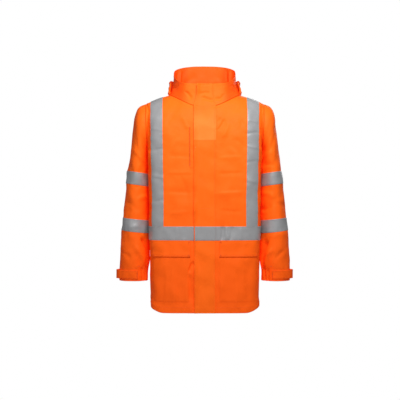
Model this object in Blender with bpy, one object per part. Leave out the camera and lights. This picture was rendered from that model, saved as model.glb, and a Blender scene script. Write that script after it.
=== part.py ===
"""A hi-vis three-quarter work jacket, filled out as when it is worn, with no wearer in it.

Each cut piece is one closed solid, a thin wall laid on a surface that is worked out from the sizes below.
Metres, +Z up. The jacket faces -Y, and its wearer's left side is +X. The origin is the middle of the neck,
at the height where the shoulder seams meet the collar.

A surface is a function of two numbers, one across and one along the piece. A pocket, flap or tape that lies
on a panel uses the panel's own points and normals, moved out, so that the layers never cross.
"""

import math

import bpy
import numpy as np


def table(columns, *rows):
    """A small table: the values of each named column."""
    return {name: np.array(values) for name, values in zip(columns.split(), zip(*rows))}


# ---------------------------------------------------------------- driving sizes
CLOTH = 0.0012  # coated outer cloth
TAPE = 0.0010  # reflective tape
DOUBLE = 0.0022  # two layers sewn together: storm flap, pocket flaps, cuff straps
COLLAR_SEAM = 0.0021  # height of the collar's foot above the body's surface
GAP = 0.0003  # between two pieces that are sewn together
STEP = 1e-4  # share of a patch that the differences for its normals reach

HEM = -0.833
HEM_RISE, HEM_BEND = 0.023, 0.060  # how much higher the hem is at the sides, and the height it is bent in
HEM_FLAT, HEM_TURN = 0.550, 0.300  # share in which the hem is level, and share in which it then rises
CHEST = -0.200  # line of the armpits
WAIST_TAPE = (-0.557, -0.504)
POCKET_FLAP_FOOT = -0.619
POCKET_FOOT = -0.790
WELT_FOOT = -0.281

FRONT_POWER, BACK_POWER = 4.8, 3.0  # squareness of the body's plan
FRONT_ARCH, BACK_ARCH = 2.4, 3.5  # fullness of the curve over the shoulder
FRONT_ASPECT, BACK_ASPECT = 2.0, 1.6  # half width over depth, for spacing the lanes

NECK_HALF, NECK_FRONT, NECK_BACK, NECK_POWER = 0.140, 0.113, 0.088, 2.3

# Shares of the way from the centre line to the side seam.
ZIP_EDGE, FLAP_EDGE, WELT_EDGE, NECK_POINT = 0.026, 0.140, 0.190, 0.455
TAPE_IN, TAPE_MID, TAPE_OUT = 0.536, 0.618, 0.700

BODY = table(
    "height half_width front back",
    (-0.833, 0.2095, 0.140, 0.134),
    (-0.700, 0.2105, 0.138, 0.132),
    (-0.600, 0.2130, 0.136, 0.129),
    (-0.530, 0.2160, 0.134, 0.127),
    (-0.400, 0.2165, 0.134, 0.130),
    (-0.300, 0.2190, 0.135, 0.136),
    (-0.200, 0.2215, 0.134, 0.138),
    (-0.100, 0.2290, 0.134, 0.138),
    (0.050, 0.2550, 0.134, 0.138),
)

# Height of the ridge over the shoulder, and in the neck the height it would have there.
RIDGE = table(
    "lateral height",
    (0.000, 0.0425),
    (0.070, 0.0300),
    (0.140, 0.0075),
    (0.165, 0.0000),
    (0.212, -0.0175),
    (0.232, -0.0260),
    (0.260, -0.0380),
)

# Where each lane of the body ends at the neckline or the shoulder seam.
LANE_TOPS = table(
    "share lateral",
    (0.000, 0.000),
    (0.140, 0.0430),
    (0.190, 0.0580),
    (0.285, 0.0865),
    (0.365, 0.1110),
    (0.425, 0.1310),
    (0.455, 0.1400),
    (0.536, 0.164),
    (0.618, 0.188),
    (0.700, 0.212),
    (0.850, 0.225),
    (1.000, 0.231),
)

# Broad folds of the body: which face, signed share across, height, half width, half height, depth outwards.
FOLDS = table(
    "face share height spread reach depth",
    (-1, -0.30, -0.74, 0.10, 0.100, -0.0030),
    (-1, 0.80, -0.70, 0.10, 0.150, 0.0030),
    (-1, -0.82, -0.40, 0.10, 0.120, -0.0030),
    (-1, 0.34, -0.36, 0.16, 0.060, 0.0025),
    (1, -0.35, -0.66, 0.13, 0.160, 0.0045),
    (1, 0.00, -0.62, 0.12, 0.180, -0.0045),
    (1, 0.38, -0.68, 0.13, 0.160, 0.0050),
    (1, 0.60, -0.38, 0.12, 0.120, -0.0030),
)

# Sleeve rings from the armhole to the cuff: outer end and inner end as seen from the front, middle of the
# depth, and how far the ring reaches forwards and backwards of it.
SLEEVE = table(
    "out_x out_z in_x in_z middle front back",
    (0.2310, -0.026, 0.2215, -0.2000, 0.000, 0.088, 0.098),
    (0.2520, -0.034, 0.2250, -0.2035, 0.001, 0.090, 0.100),
    (0.2660, -0.049, 0.2255, -0.2080, 0.003, 0.091, 0.100),
    (0.2755, -0.078, 0.2255, -0.2150, 0.005, 0.091, 0.098),
    (0.2810, -0.125, 0.2248, -0.2260, 0.008, 0.090, 0.096),
    (0.2875, -0.182, 0.2243, -0.2450, 0.010, 0.089, 0.093),
    (0.2960, -0.245, 0.2238, -0.2720, 0.012, 0.088, 0.090),
    (0.3030, -0.289, 0.2238, -0.3010, 0.013, 0.087, 0.088),
    (0.3085, -0.338, 0.2228, -0.3500, 0.013, 0.086, 0.086),
    (0.3150, -0.405, 0.2206, -0.4180, 0.012, 0.083, 0.083),
    (0.3210, -0.472, 0.2212, -0.4830, 0.008, 0.080, 0.080),
    (0.3262, -0.521, 0.2222, -0.5330, 0.003, 0.077, 0.077),
    (0.3305, -0.585, 0.2180, -0.5950, -0.004, 0.071, 0.072),
    (0.3320, -0.635, 0.2175, -0.6400, -0.010, 0.063, 0.064),
    (0.3325, -0.675, 0.2235, -0.6760, -0.014, 0.055, 0.056),
    (0.3328, -0.709, 0.2245, -0.7090, -0.016, 0.050, 0.051),
    (0.3325, -0.718, 0.2248, -0.7180, -0.017, 0.049, 0.050),
)
UPPER_BAND, LOWER_BAND, STRAP = (7, 8), (10, 11), (14, 15)  # rings that the tapes and the strap span
STRAP_TURN = (70, 290)  # degrees from the inner edge, forwards round the outer edge
STRAP_LIFT, STRAP_LIFT_SPREAD = 0.0095, 32  # how far the strap stands off, over how many degrees

# Plan of the collar's top edge, by degrees round from the centre front.
COLLAR_TOP = table(
    "turn lateral depth",
    (0, 0.000, -0.0980),
    (22, 0.045, -0.0975),
    (42, 0.080, -0.0910),
    (60, 0.105, -0.0640),
    (78, 0.118, -0.0260),
    (95, 0.121, 0.0120),
    (115, 0.114, 0.0430),
    (138, 0.086, 0.0680),
    (160, 0.045, 0.0800),
    (180, 0.000, 0.0830),
)
COLLAR_FRONT_TOP, COLLAR_BACK_TOP = 0.044, 0.137
COLLAR_FLARE = 2.6  # how quickly the collar narrows above its seam

# The hood hangs folded down: from its seam it falls down the back, turns, and rises to the face edge.
# By degrees round from the centre front: share of the back's curve that it falls down, how far the face
# edge stands off its seam, and at what elevation.
HOOD = table(
    "turn fall swell elevation",
    (70, 0.00, 0.008, 92),
    (82, 0.00, 0.034, 104),
    (93, 0.02, 0.051, 103),
    (104, 0.16, 0.050, 92),
    (115, 0.50, 0.052, 82),
    (130, 0.80, 0.066, 65),
    (150, 0.93, 0.084, 38),
    (180, 0.95, 0.096, 28),
)
HOOD_AT_SEAM, HOOD_OFF_BACK = 0.0033, 0.0085  # how far it stands off the body, both ways at once
HOOD_LEAVES = 0.1  # share of its length in which it leaves the seam
HOOD_BULGE = 0.007
HOOD_LATE = 0.36  # share of its length at which it starts to swell, where it falls the whole way

# ---------------------------------------------------------------- rows and lanes of the panels
FRONT_HEIGHTS = (
    HEM, POCKET_FOOT, -0.745, -0.700, -0.655, POCKET_FLAP_FOOT, *WAIST_TAPE,
    -0.450, -0.400, -0.340, WELT_FOOT, -0.240, CHEST,
)
CLIMBS = (0.12, 0.25, 0.38, 0.51, 0.64, 0.77, 0.89, 1.0)  # from the chest line to the top
WELT_HEAD = 1 + CLIMBS[2]
BACK_HEIGHTS = (HEM, -0.750, -0.650, *WAIST_TAPE, -0.430, -0.350, -0.275, CHEST)
NECK_LANES = (0.285, 0.365, 0.425, NECK_POINT)
SIDE_LANES = (TAPE_IN, TAPE_MID, TAPE_OUT, 0.850, 1.0)
FRONT_LANES = (ZIP_EDGE, FLAP_EDGE, WELT_EDGE, *NECK_LANES, *SIDE_LANES)
BACK_HALF_LANES = (0.150, *NECK_LANES, *SIDE_LANES)
BACK_LANES = (*(-lane for lane in reversed(BACK_HALF_LANES)), 0.0, *BACK_HALF_LANES)

FRONT, BACK = -1, 1
LEFT, RIGHT = 1, -1

FINISHES = {
    "orange": ((0.95, 0.13, 0.012), 0.62, 0.0),
    "tape": ((0.36, 0.36, 0.37), 0.38, 0.15),
    "zip": ((0.80, 0.12, 0.015), 0.55, 0.0),
}


# ---------------------------------------------------------------- reading tables and curves
def smooth(at, knots, values):
    """A smooth curve through a table: a cubic between each two knots, with Catmull-Rom slopes."""
    slopes = np.gradient(values, knots)
    at = np.clip(at, knots[0], knots[-1])
    i = np.clip(np.searchsorted(knots, at, side="right") - 1, 0, len(knots) - 2)
    span = knots[i + 1] - knots[i]
    t = (at - knots[i]) / span
    rise = values[i + 1] - values[i]
    bend = (1 - t) * slopes[i] * span - t * slopes[i + 1] * span - (1 - 2 * t) * rise
    return values[i] + t * rise + t * (1 - t) * bend


def read(source, name, at):
    """Column `name` of a table, at values of its first column."""
    return smooth(at, source[next(iter(source))], source[name])


def ease(t):
    """0 to 1 with no slope at either end."""
    t = np.clip(t, 0, 1)
    return t * t * (3 - 2 * t)


def oval(share, power):
    """1 at the middle and 0 at the edge of an oval of that squareness."""
    return np.clip(1 - np.abs(share) ** power, 0, 1) ** (1 / power)


def even_turn(power, aspect):
    """Function from a share of a quarter oval's length to its angle."""
    w = np.linspace(0, 1, 20001)
    angle = math.pi / 2 * w**3 / (w**3 + (1 - w) ** 3)
    x = aspect * np.sin(angle) ** (2 / power)
    y = np.cos(angle) ** (2 / power)
    length = np.concatenate([[0], np.cumsum(np.hypot(np.diff(x), np.diff(y)))])
    return lambda share: np.interp(share, length / length[-1], angle)


TURN = {FRONT: even_turn(FRONT_POWER, FRONT_ASPECT), BACK: even_turn(BACK_POWER, BACK_ASPECT)}


# ---------------------------------------------------------------- surfaces
def course(height):
    """How far up the body a height is: 0 at the hem and 1 at the chest line."""
    return (height - HEM) / (CHEST - HEM)


def body_depth(face, x, z):
    """Depth of the body below the curve over the shoulder, at a place seen from the front."""
    side = "front" if face == FRONT else "back"
    power = FRONT_POWER if face == FRONT else BACK_POWER
    return read(BODY, side, z) * oval(x / read(BODY, "half_width", z), power)


def armhole(face, climb):
    """The armhole's edge, from the armpit at 0 to the shoulder at 1."""
    turn = math.pi * climb
    reach = SLEEVE["front" if face == FRONT else "back"][0]
    x = (SLEEVE["out_x"][0] + SLEEVE["in_x"][0] - (SLEEVE["out_x"][0] - SLEEVE["in_x"][0]) * np.cos(turn)) / 2
    z = (SLEEVE["out_z"][0] + SLEEVE["in_z"][0] - (SLEEVE["out_z"][0] - SLEEVE["in_z"][0]) * np.cos(turn)) / 2
    return np.stack([x, face * reach * np.sin(turn), z], -1)


def plain_body(face, share, along):
    """The body before it is drawn to the armhole: ovals up to the chest line, then curves over the shoulder."""
    power, arch = (FRONT_POWER, FRONT_ARCH) if face == FRONT else (BACK_POWER, BACK_ARCH)
    height = HEM + (CHEST - HEM) * np.minimum(along, 1)
    height = height + HEM_RISE * ease((share - HEM_FLAT) / HEM_TURN) * ease(1 - (height - HEM) / HEM_BEND)
    climb = np.maximum(along - 1, 0)
    turn = TURN[face](share)
    low = read(BODY, "half_width", height) * np.sin(turn) ** (2 / power)
    top = read(LANE_TOPS, "lateral", share)
    x = low + (top - low) * climb
    neck = (NECK_FRONT if face == FRONT else NECK_BACK) * oval(np.minimum(top / NECK_HALF, 1), NECK_POWER)
    whole = np.maximum(body_depth(face, top, CHEST), neck + STEP)
    last = np.arccos((neck / whole) ** (arch / 2))
    rise = np.sin(last * climb) ** (2 / arch)
    z = height + (read(RIDGE, "height", x) - CHEST) * np.where(climb > 0, rise, 0)
    low_y = read(BODY, "front" if face == FRONT else "back", height) * np.cos(turn) ** (2 / power)
    high_y = body_depth(face, x, z) * np.cos(last * climb) ** (2 / arch)
    lift = ease(climb / 0.25)
    y = np.where(climb > 0, low_y * (1 - lift) * np.cos(last * climb) ** (2 / arch) + high_y * lift, low_y)
    return np.stack([x, face * y, z], -1)


def body(face):
    """Surface of the front or the back: signed share across, and the way up, 1 at the chest line, 2 at the top."""

    def surface(across, along):
        along = np.clip(along, 0, 2)
        share = np.minimum(np.abs(across), 1)
        points = plain_body(face, share, along)
        climb = np.maximum(along - 1, 0)
        pull = ease((share - TAPE_OUT) / (1 - TAPE_OUT)) * (climb > 0)
        edge = armhole(face, climb) - plain_body(face, np.ones_like(share), along)
        points = points + pull[..., None] * edge
        for i in np.flatnonzero(FOLDS["face"] == face):
            far = ((across - FOLDS["share"][i]) / FOLDS["spread"][i]) ** 2
            far = far + ((points[..., 2] - FOLDS["height"][i]) / FOLDS["reach"][i]) ** 2
            points[..., 1] += face * FOLDS["depth"][i] * np.exp(-far)
        points[..., 0] *= np.where(across < 0, -1, 1)
        return points

    return surface


def sleeve(side):
    """Surface of a sleeve: degrees round from its inner edge, forwards, and the ring's number."""
    rings = np.arange(len(SLEEVE["out_x"]), dtype=float)

    def surface(turn, ring):
        ring = np.clip(ring, 0, rings[-1])
        at = {name: smooth(ring, rings, values) for name, values in SLEEVE.items()}
        across, deep = np.cos(np.radians(turn)), np.sin(np.radians(turn))
        x = (at["out_x"] + at["in_x"] - (at["out_x"] - at["in_x"]) * across) / 2
        z = (at["out_z"] + at["in_z"] - (at["out_z"] - at["in_z"]) * across) / 2
        y = at["middle"] - np.where(deep > 0, at["front"], at["back"]) * deep
        clear = (2 * GAP + CLOTH * (1 + across)) * np.clip(1 - ring, 0, 1)
        return np.stack([side * (x + clear), y, z], -1)

    return surface


def from_neck(turn, fall):
    """The body's surface by degrees round the neck, and the share of the curve that it has fallen from the seam."""
    angle = np.radians(turn)
    lateral = NECK_HALF * np.abs(np.sin(angle)) ** (2 / NECK_POWER)
    shares = np.linspace(0, NECK_POINT, 2001)
    share = np.interp(lateral, read(LANE_TOPS, "lateral", shares), shares)
    in_front = (np.cos(angle) > 0)[..., None]
    along = 2 - np.maximum(fall, 0)
    points = np.where(in_front, plain_body(FRONT, share, along), plain_body(BACK, share, along))
    points[..., 0] *= np.where(np.sin(angle) < 0, -1, 1)
    return points


def neckline(turn):
    """The collar seam, by degrees round from the centre front, on top of the body's outer face."""
    points = from_neck(turn, np.zeros_like(turn))
    points[..., 2] += COLLAR_SEAM
    return points


def collar(turn, along):
    """Surface of the collar: degrees round from the centre front, and 0 at its seam to 1 at its top edge."""
    base = neckline(turn)
    half = np.abs((turn + 180) % 360 - 180)
    x = read(COLLAR_TOP, "lateral", half) * np.where(np.sin(np.radians(turn)) < 0, -1, 1)
    y = read(COLLAR_TOP, "depth", half)
    front, back = COLLAR_TOP["depth"][0], COLLAR_TOP["depth"][-1]
    z = COLLAR_FRONT_TOP + (COLLAR_BACK_TOP - COLLAR_FRONT_TOP) * (y - front) / (back - front)
    top = np.stack([x, y, z], -1)
    along = np.clip(along, 0, 1)
    flare = ((1 - along) ** COLLAR_FLARE)[..., None]
    points = top + (base - top) * flare
    points[..., 2] = base[..., 2] + (z - base[..., 2]) * along
    return points


def hood(turn, along):
    """Surface of the hood: degrees round from the centre front, and 0 at its seam to 1 at its face edge."""
    half = np.abs((turn + 180) % 360 - 180)
    at = {name: read(HOOD, name, half) for name in list(HOOD)[1:]}
    along = np.clip(along, 0, 1)
    points = from_neck(turn, at["fall"] * np.sin(math.pi * along))
    angle, tilt = np.radians(turn), np.radians(at["elevation"])
    radial = np.stack([np.sin(angle), -np.cos(angle), np.zeros_like(angle)], -1)
    upright = np.array([0.0, 0.0, 1.0])
    off = HOOD_AT_SEAM + (HOOD_OFF_BACK - HOOD_AT_SEAM) * ease(along / HOOD_LEAVES) * (at["swell"] / HOOD["swell"][-1])
    late = HOOD_LATE * at["fall"]
    swell = at["swell"] * ease((along - late) / (1 - late))
    bulge = HOOD_BULGE * np.sin(math.pi * along) * (at["swell"] / HOOD["swell"][-1]) ** 2
    out = (swell * np.cos(tilt) + bulge + off * math.sqrt(0.5))[..., None]
    up = (swell * np.sin(tilt) + off * math.sqrt(0.5) + COLLAR_SEAM * (1 - ease(along)))[..., None]
    return points + out * radial + up * upright


def mapped(surface, across, along):
    """Points and outward normals of a surface on a grid, one row for each value along."""
    u, v = np.meshgrid(np.array(across, float), np.array(along, float))
    step_u = STEP * (across[-1] - across[0])
    step_v = STEP * (along[-1] - along[0])
    over_u = surface(u + step_u, v) - surface(u - step_u, v)
    over_v = surface(u, v + step_v) - surface(u, v - step_v)
    normals = np.cross(over_u, over_v)
    return surface(u, v), normals / np.linalg.norm(normals, axis=-1, keepdims=True)


# ---------------------------------------------------------------- solids
def finish(name):
    """The material of that finish, made once."""
    if name in bpy.data.materials:
        return bpy.data.materials[name]
    colour, roughness, metallic = FINISHES[name]
    material = bpy.data.materials.new(name)
    material.use_nodes = True
    shader = material.node_tree.nodes["Principled BSDF"]
    shader.inputs["Base Color"].default_value = (*colour, 1)
    shader.inputs["Roughness"].default_value = roughness
    shader.inputs["Metallic"].default_value = metallic
    return material


def wall(name, points, normals, low, high, look="orange", ring=False):
    """A closed wall from `low` to `high` above a grid of points. A ring's last column meets its first."""
    rows, columns = points.shape[:2]
    low, high = np.asarray(low, float), np.asarray(high, float)
    inner = points + normals * (low[..., None] if low.ndim else low)
    outer = points + normals * (high[..., None] if high.ndim else high)
    corners = np.concatenate([inner.reshape(-1, 3), outer.reshape(-1, 3)])
    count = rows * columns
    number = np.arange(count).reshape(rows, columns)
    if ring:
        number = np.concatenate([number, number[:, :1]], 1)
    a, b = number[:-1, :-1].ravel(), number[:-1, 1:].ravel()
    c, d = number[1:, 1:].ravel(), number[1:, :-1].ravel()
    left = (corners[a, 0] + corners[c, 0] > 0)[:, None]
    first = np.where(left, np.stack([a, b, d], 1), np.stack([a, b, c], 1))
    second = np.where(left, np.stack([b, c, d], 1), np.stack([a, c, d], 1))
    cells = np.concatenate([first, second])
    faces = [cells[:, ::-1], cells + count]
    rims = [number[0], number[-1, ::-1]]
    if not ring:
        rims += [number[::-1, 0], number[:, -1]]
    for rim in rims:
        near, far = rim[:-1], rim[1:]
        faces += [np.stack([near, far, far + count], 1), np.stack([near, far + count, near + count], 1)]
    mesh = bpy.data.meshes.new(name)
    mesh.from_pydata(corners.tolist(), [], np.concatenate(faces).tolist())
    mesh.materials.append(finish(look))
    mesh.shade_smooth()
    mesh.set_sharp_from_angle(angle=math.radians(40))
    piece = bpy.data.objects.new(name, mesh)
    bpy.context.scene.collection.objects.link(piece)
    return piece


def piece(name, surface, across, along, low, high, look="orange"):
    """A wall over a patch of one surface."""
    return wall(name, *mapped(surface, across, along), low, high, look)


def joined(*patches):
    """Points and normals of patches that follow each other along a strip."""
    grids = [mapped(*patch) for patch in patches]
    return tuple(np.concatenate(layer) for layer in zip(*grids))


def drawn_in(points, edges):
    """The same grid with the named edges drawn in, half the gap that a seam leaves."""
    points = points.copy()
    lines = {"start": (np.s_[:, 0], np.s_[:, 1]), "end": (np.s_[:, -1], np.s_[:, -2])}
    lines |= {"foot": (np.s_[0], np.s_[1]), "head": (np.s_[-1], np.s_[-2])}
    for edge in edges.split():
        outer, inner = lines[edge]
        away = points[inner] - points[outer]
        points[outer] += away / np.linalg.norm(away, axis=-1, keepdims=True) * SEAM
    return points


def piece(name, patches, low, high, edges="", look="orange", ring=False):
    """A wall over one patch, or over patches that follow each other, drawn in at the named edges."""
    points, normals = joined(*patches)
    return wall(name, drawn_in(points, edges), normals, low, high, look, ring)


# ---------------------------------------------------------------- rows, lanes and layers of the pieces
SEAM = 0.55 * GAP  # how far a cut edge is drawn in where it is sewn to its neighbour
ON_PANEL = CLOTH + GAP
ON_POCKET = ON_PANEL + CLOTH + GAP
ON_FLAP = ON_PANEL + DOUBLE + GAP
FRONT_ROWS = [course(height) for height in FRONT_HEIGHTS] + [1 + climb for climb in CLIMBS]
BACK_ROWS = [course(height) for height in BACK_HEIGHTS] + [1 + climb for climb in CLIMBS]
COLLAR_ROWS = (0.0, 0.12, 0.3, 0.62, 1.0)
SLEEVE_TURNS = (0, *(180 * climb for climb in CLIMBS), *(360 - 180 * climb for climb in CLIMBS[-2::-1]))
HOOD_TURNS = tuple(np.linspace(HOOD["turn"][0], 360 - HOOD["turn"][0], 23))
HOOD_ALONG = (0.0, 0.08, 0.18, 0.29, 0.40, 0.50, 0.60, 0.72, 0.85, 1.0)
WAIST_ROWS = [course(height) for height in WAIST_TAPE]


def between(values, low, high):
    """Those values from low to high."""
    return [value for value in values if low - 1e-9 <= value <= high + 1e-9]


def lanes(side, low, high, values=FRONT_LANES):
    """Lanes of the wearer's left or right, from low to high out from the centre line."""
    kept = between(values, low, high)
    return kept if side == LEFT else [-value for value in reversed(kept)]


def edges(side, inner, outer, others=""):
    """Names of the edges drawn in: the one towards the centre line, the outer one, and others."""
    start, end = (inner, outer) if side == LEFT else (outer, inner)
    return " ".join(["start"] * start + ["end"] * end + others.split())


def turn_of(share):
    """Degrees round the neck at which a lane of the front meets the collar."""
    lateral = read(LANE_TOPS, "lateral", share)
    return math.degrees(math.asin((lateral / NECK_HALF) ** (NECK_POWER / 2)))


def make_fronts():
    for side, name in ((LEFT, "front_left"), (RIGHT, "front_right")):
        patch = (body(FRONT), lanes(side, ZIP_EDGE, 1), FRONT_ROWS)
        piece(name, [patch], 0, CLOTH, edges(side, False, True, "head"))


def make_back():
    patch = (body(BACK), BACK_LANES[::-1], BACK_ROWS)
    piece("back", [patch], 0, CLOTH, "start end head")


def make_sleeves():
    rings = range(len(SLEEVE["out_x"]))
    for side, name in ((LEFT, "left"), (RIGHT, "right")):
        turns = SLEEVE_TURNS if side == RIGHT else SLEEVE_TURNS[::-1]
        piece(f"sleeve_{name}", [(sleeve(side), turns, rings)], 0, CLOTH, ring=True)
        for band, where in ((UPPER_BAND, "upper"), (LOWER_BAND, "lower")):
            patch = (sleeve(side), turns, band)
            piece(f"sleeve_tape_{where}_{name}", [patch], ON_PANEL, ON_PANEL + TAPE, look="tape", ring=True)
        strap = [turn for turn in turns if STRAP_TURN[0] < turn < STRAP_TURN[1]]
        lift = ON_PANEL + STRAP_LIFT * np.exp(-(((np.array(strap) - 180) / STRAP_LIFT_SPREAD) ** 2))
        lift = np.tile(lift, (2, 1))
        piece(f"cuff_strap_{name}", [(sleeve(side), strap, STRAP)], lift, lift + DOUBLE)


def make_collar():
    front = [turn_of(share) for share in between(FRONT_LANES, ZIP_EDGE, NECK_POINT)]
    back = [180 - turn_of(share) for share in between(BACK_HALF_LANES, 0, NECK_POINT - 0.01)[::-1]]
    half = [*front, *back]
    turns = [*half, 180, *(360 - turn for turn in half[::-1])]
    piece("collar_outer", [(collar, turns, COLLAR_ROWS)], 0, CLOTH)
    piece("collar_inner", [(collar, turns, COLLAR_ROWS)], -CLOTH - GAP, -GAP)


def make_closure():
    inner, outer = ZIP_EDGE, FLAP_EDGE
    rows = len(FRONT_ROWS)
    across = [-outer, -inner, inner, outer]
    turns = [-turn_of(outer), -turn_of(inner), turn_of(inner), turn_of(outer)]
    whole = [(body(FRONT), across, FRONT_ROWS), (collar, turns, COLLAR_ROWS)]
    piece("storm_flap", whole, ON_PANEL, ON_PANEL + DOUBLE)
    behind = np.full((rows + len(COLLAR_ROWS), len(across)), -GAP)
    behind[rows:] -= CLOTH + GAP
    piece("front_zip", whole, behind - CLOTH, behind, look="zip")


def make_pockets():
    for side, name in ((LEFT, "left"), (RIGHT, "right")):
        rows = between(FRONT_ROWS, course(POCKET_FOOT), WAIST_ROWS[0])
        patch = (body(FRONT), lanes(side, WELT_EDGE, TAPE_OUT), rows)
        piece(f"pocket_{name}", [patch], ON_PANEL, ON_PANEL + CLOTH, "head")
        rows = between(FRONT_ROWS, course(POCKET_FLAP_FOOT), WAIST_ROWS[0])
        patch = (body(FRONT), lanes(side, WELT_EDGE, TAPE_OUT), rows)
        piece(f"pocket_flap_{name}", [patch], ON_POCKET, ON_POCKET + DOUBLE, "head")
    rows = between(FRONT_ROWS, course(WELT_FOOT), WELT_HEAD)
    patch = (body(FRONT), lanes(RIGHT, FLAP_EDGE, WELT_EDGE), rows)
    piece("chest_welt", [patch], ON_PANEL, ON_PANEL + CLOTH, "end")


def make_tapes():
    high = ON_PANEL + TAPE
    for side, name in ((LEFT, "left"), (RIGHT, "right")):
        up = between(FRONT_ROWS, WAIST_ROWS[1], 2)
        down = between(BACK_ROWS, WAIST_ROWS[1], 2)[-2::-1]
        across = lanes(side, TAPE_IN, TAPE_OUT)
        strip = [(body(FRONT), across, up), (body(BACK), across, down)]
        piece(f"brace_tape_{name}", strip, ON_PANEL, high, "foot head", look="tape")
        patch = (body(FRONT), lanes(side, FLAP_EDGE, 1), WAIST_ROWS)
        piece(f"waist_tape_{name}", [patch], ON_PANEL, high, edges(side, True, True, "foot head"), look="tape")
    patch = (body(BACK), BACK_LANES[::-1], WAIST_ROWS)
    piece("waist_tape_back", [patch], ON_PANEL, high, "start end foot head", look="tape")
    across = [-FLAP_EDGE, -ZIP_EDGE, ZIP_EDGE, FLAP_EDGE]
    piece("waist_tape_flap", [(body(FRONT), across, WAIST_ROWS)], ON_FLAP, ON_FLAP + TAPE, look="tape")


def make_hood():
    piece("hood", [(hood, HOOD_TURNS, HOOD_ALONG)], 0, CLOTH)


def main():
    for old in list(bpy.data.objects):
        bpy.data.objects.remove(old)
    make_fronts()
    make_back()
    make_sleeves()
    make_collar()
    make_closure()
    make_pockets()
    make_tapes()
    make_hood()


main()
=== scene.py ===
"""Looks of the hi-vis work jacket: cloth with creases and stitches, reflective tapes, the studio.

The cloth of each cut piece is a thin closed shell on the form of its solid. A surface is a function
of two numbers, one across and one along the piece. Creases move it in and out, and what lies on a
panel moves with them. Metres, +Z up. The jacket faces -Y, and its wearer's left side is +X.
"""

import math

import bpy
import numpy as np
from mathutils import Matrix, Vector


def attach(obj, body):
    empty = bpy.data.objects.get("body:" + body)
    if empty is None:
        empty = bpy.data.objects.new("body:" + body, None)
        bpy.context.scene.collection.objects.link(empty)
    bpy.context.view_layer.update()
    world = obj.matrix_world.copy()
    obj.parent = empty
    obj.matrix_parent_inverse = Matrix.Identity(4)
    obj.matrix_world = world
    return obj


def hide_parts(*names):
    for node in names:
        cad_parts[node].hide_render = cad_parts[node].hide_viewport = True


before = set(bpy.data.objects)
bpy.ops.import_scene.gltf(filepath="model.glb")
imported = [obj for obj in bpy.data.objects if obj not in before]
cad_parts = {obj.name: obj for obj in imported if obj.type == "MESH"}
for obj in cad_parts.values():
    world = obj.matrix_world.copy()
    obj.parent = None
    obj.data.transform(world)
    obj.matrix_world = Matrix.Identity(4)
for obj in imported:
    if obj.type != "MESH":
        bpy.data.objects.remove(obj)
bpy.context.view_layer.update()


def table(columns, *rows):
    """A small table: the values of each named column."""
    return {name: np.array(values) for name, values in zip(columns.split(), zip(*rows))}


# ---------------------------------------------------------------- sizes, as the solids have them
CLOTH = 0.0012
TAPE = 0.0010
DOUBLE = 0.0022
GAP = 0.0003
STEP = 1e-4  # share of a patch that the differences for its normals reach

COLLAR_SEAM = 0.0021  # height of the collar's foot above the body's surface

HEM = -0.833
HEM_RISE, HEM_BEND = 0.023, 0.060  # how much higher the hem is at the sides, and what that bends
HEM_FLAT, HEM_TURN = 0.550, 0.300  # share in which the hem is level, and in which it then rises
CHEST = -0.200  # line of the armpits
WAIST_TAPE = (-0.557, -0.504)
POCKET_FLAP_FOOT = -0.619
POCKET_FOOT = -0.790
WELT_FOOT = -0.281
WELT_TOP = 1.38  # how far up the body: 1 at the chest line, 2 at the shoulder

FRONT_POWER, BACK_POWER = 4.8, 3.0  # squareness of the body's plan
FRONT_ARCH, BACK_ARCH = 2.4, 3.5  # fullness of the curve over the shoulder
FRONT_ASPECT, BACK_ASPECT = 2.0, 1.6  # half width over depth, for spacing the lanes

NECK_HALF, NECK_FRONT, NECK_BACK, NECK_POWER = 0.140, 0.113, 0.088, 2.3

# Shares of the way from the centre line to the side seam.
ZIP_EDGE, FLAP_EDGE, WELT_EDGE, NECK_POINT = 0.026, 0.140, 0.190, 0.455
TAPE_IN, TAPE_OUT = 0.536, 0.700

BODY = table(
    "height half_width front back",
    (-0.833, 0.2095, 0.140, 0.134),
    (-0.700, 0.2105, 0.138, 0.132),
    (-0.600, 0.2130, 0.136, 0.129),
    (-0.530, 0.2160, 0.134, 0.127),
    (-0.400, 0.2165, 0.134, 0.130),
    (-0.300, 0.2190, 0.135, 0.136),
    (-0.200, 0.2215, 0.134, 0.138),
    (-0.100, 0.2290, 0.134, 0.138),
    (0.050, 0.2550, 0.134, 0.138),
)

# Height of the ridge over the shoulder, and in the neck the height it would have there.
RIDGE = table(
    "lateral height",
    (0.000, 0.0425),
    (0.070, 0.0300),
    (0.140, 0.0075),
    (0.165, 0.0000),
    (0.212, -0.0175),
    (0.232, -0.0260),
    (0.260, -0.0380),
)

# Where each lane of the body ends at the neckline or the shoulder seam.
LANE_TOPS = table(
    "share lateral",
    (0.000, 0.000),
    (0.140, 0.0430),
    (0.190, 0.0580),
    (0.285, 0.0865),
    (0.365, 0.1110),
    (0.425, 0.1310),
    (0.455, 0.1400),
    (0.536, 0.164),
    (0.618, 0.188),
    (0.700, 0.212),
    (0.850, 0.225),
    (1.000, 0.231),
)

# Broad folds of the body: face, share across, height, half width, half height, depth outwards.
FOLDS = table(
    "face share height spread reach depth",
    (-1, -0.30, -0.74, 0.10, 0.100, -0.0030),
    (-1, 0.80, -0.70, 0.10, 0.150, 0.0030),
    (-1, -0.82, -0.40, 0.10, 0.120, -0.0030),
    (-1, 0.34, -0.36, 0.16, 0.060, 0.0025),
    (1, -0.35, -0.66, 0.13, 0.160, 0.0045),
    (1, 0.00, -0.62, 0.12, 0.180, -0.0045),
    (1, 0.38, -0.68, 0.13, 0.160, 0.0050),
    (1, 0.60, -0.38, 0.12, 0.120, -0.0030),
)

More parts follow.
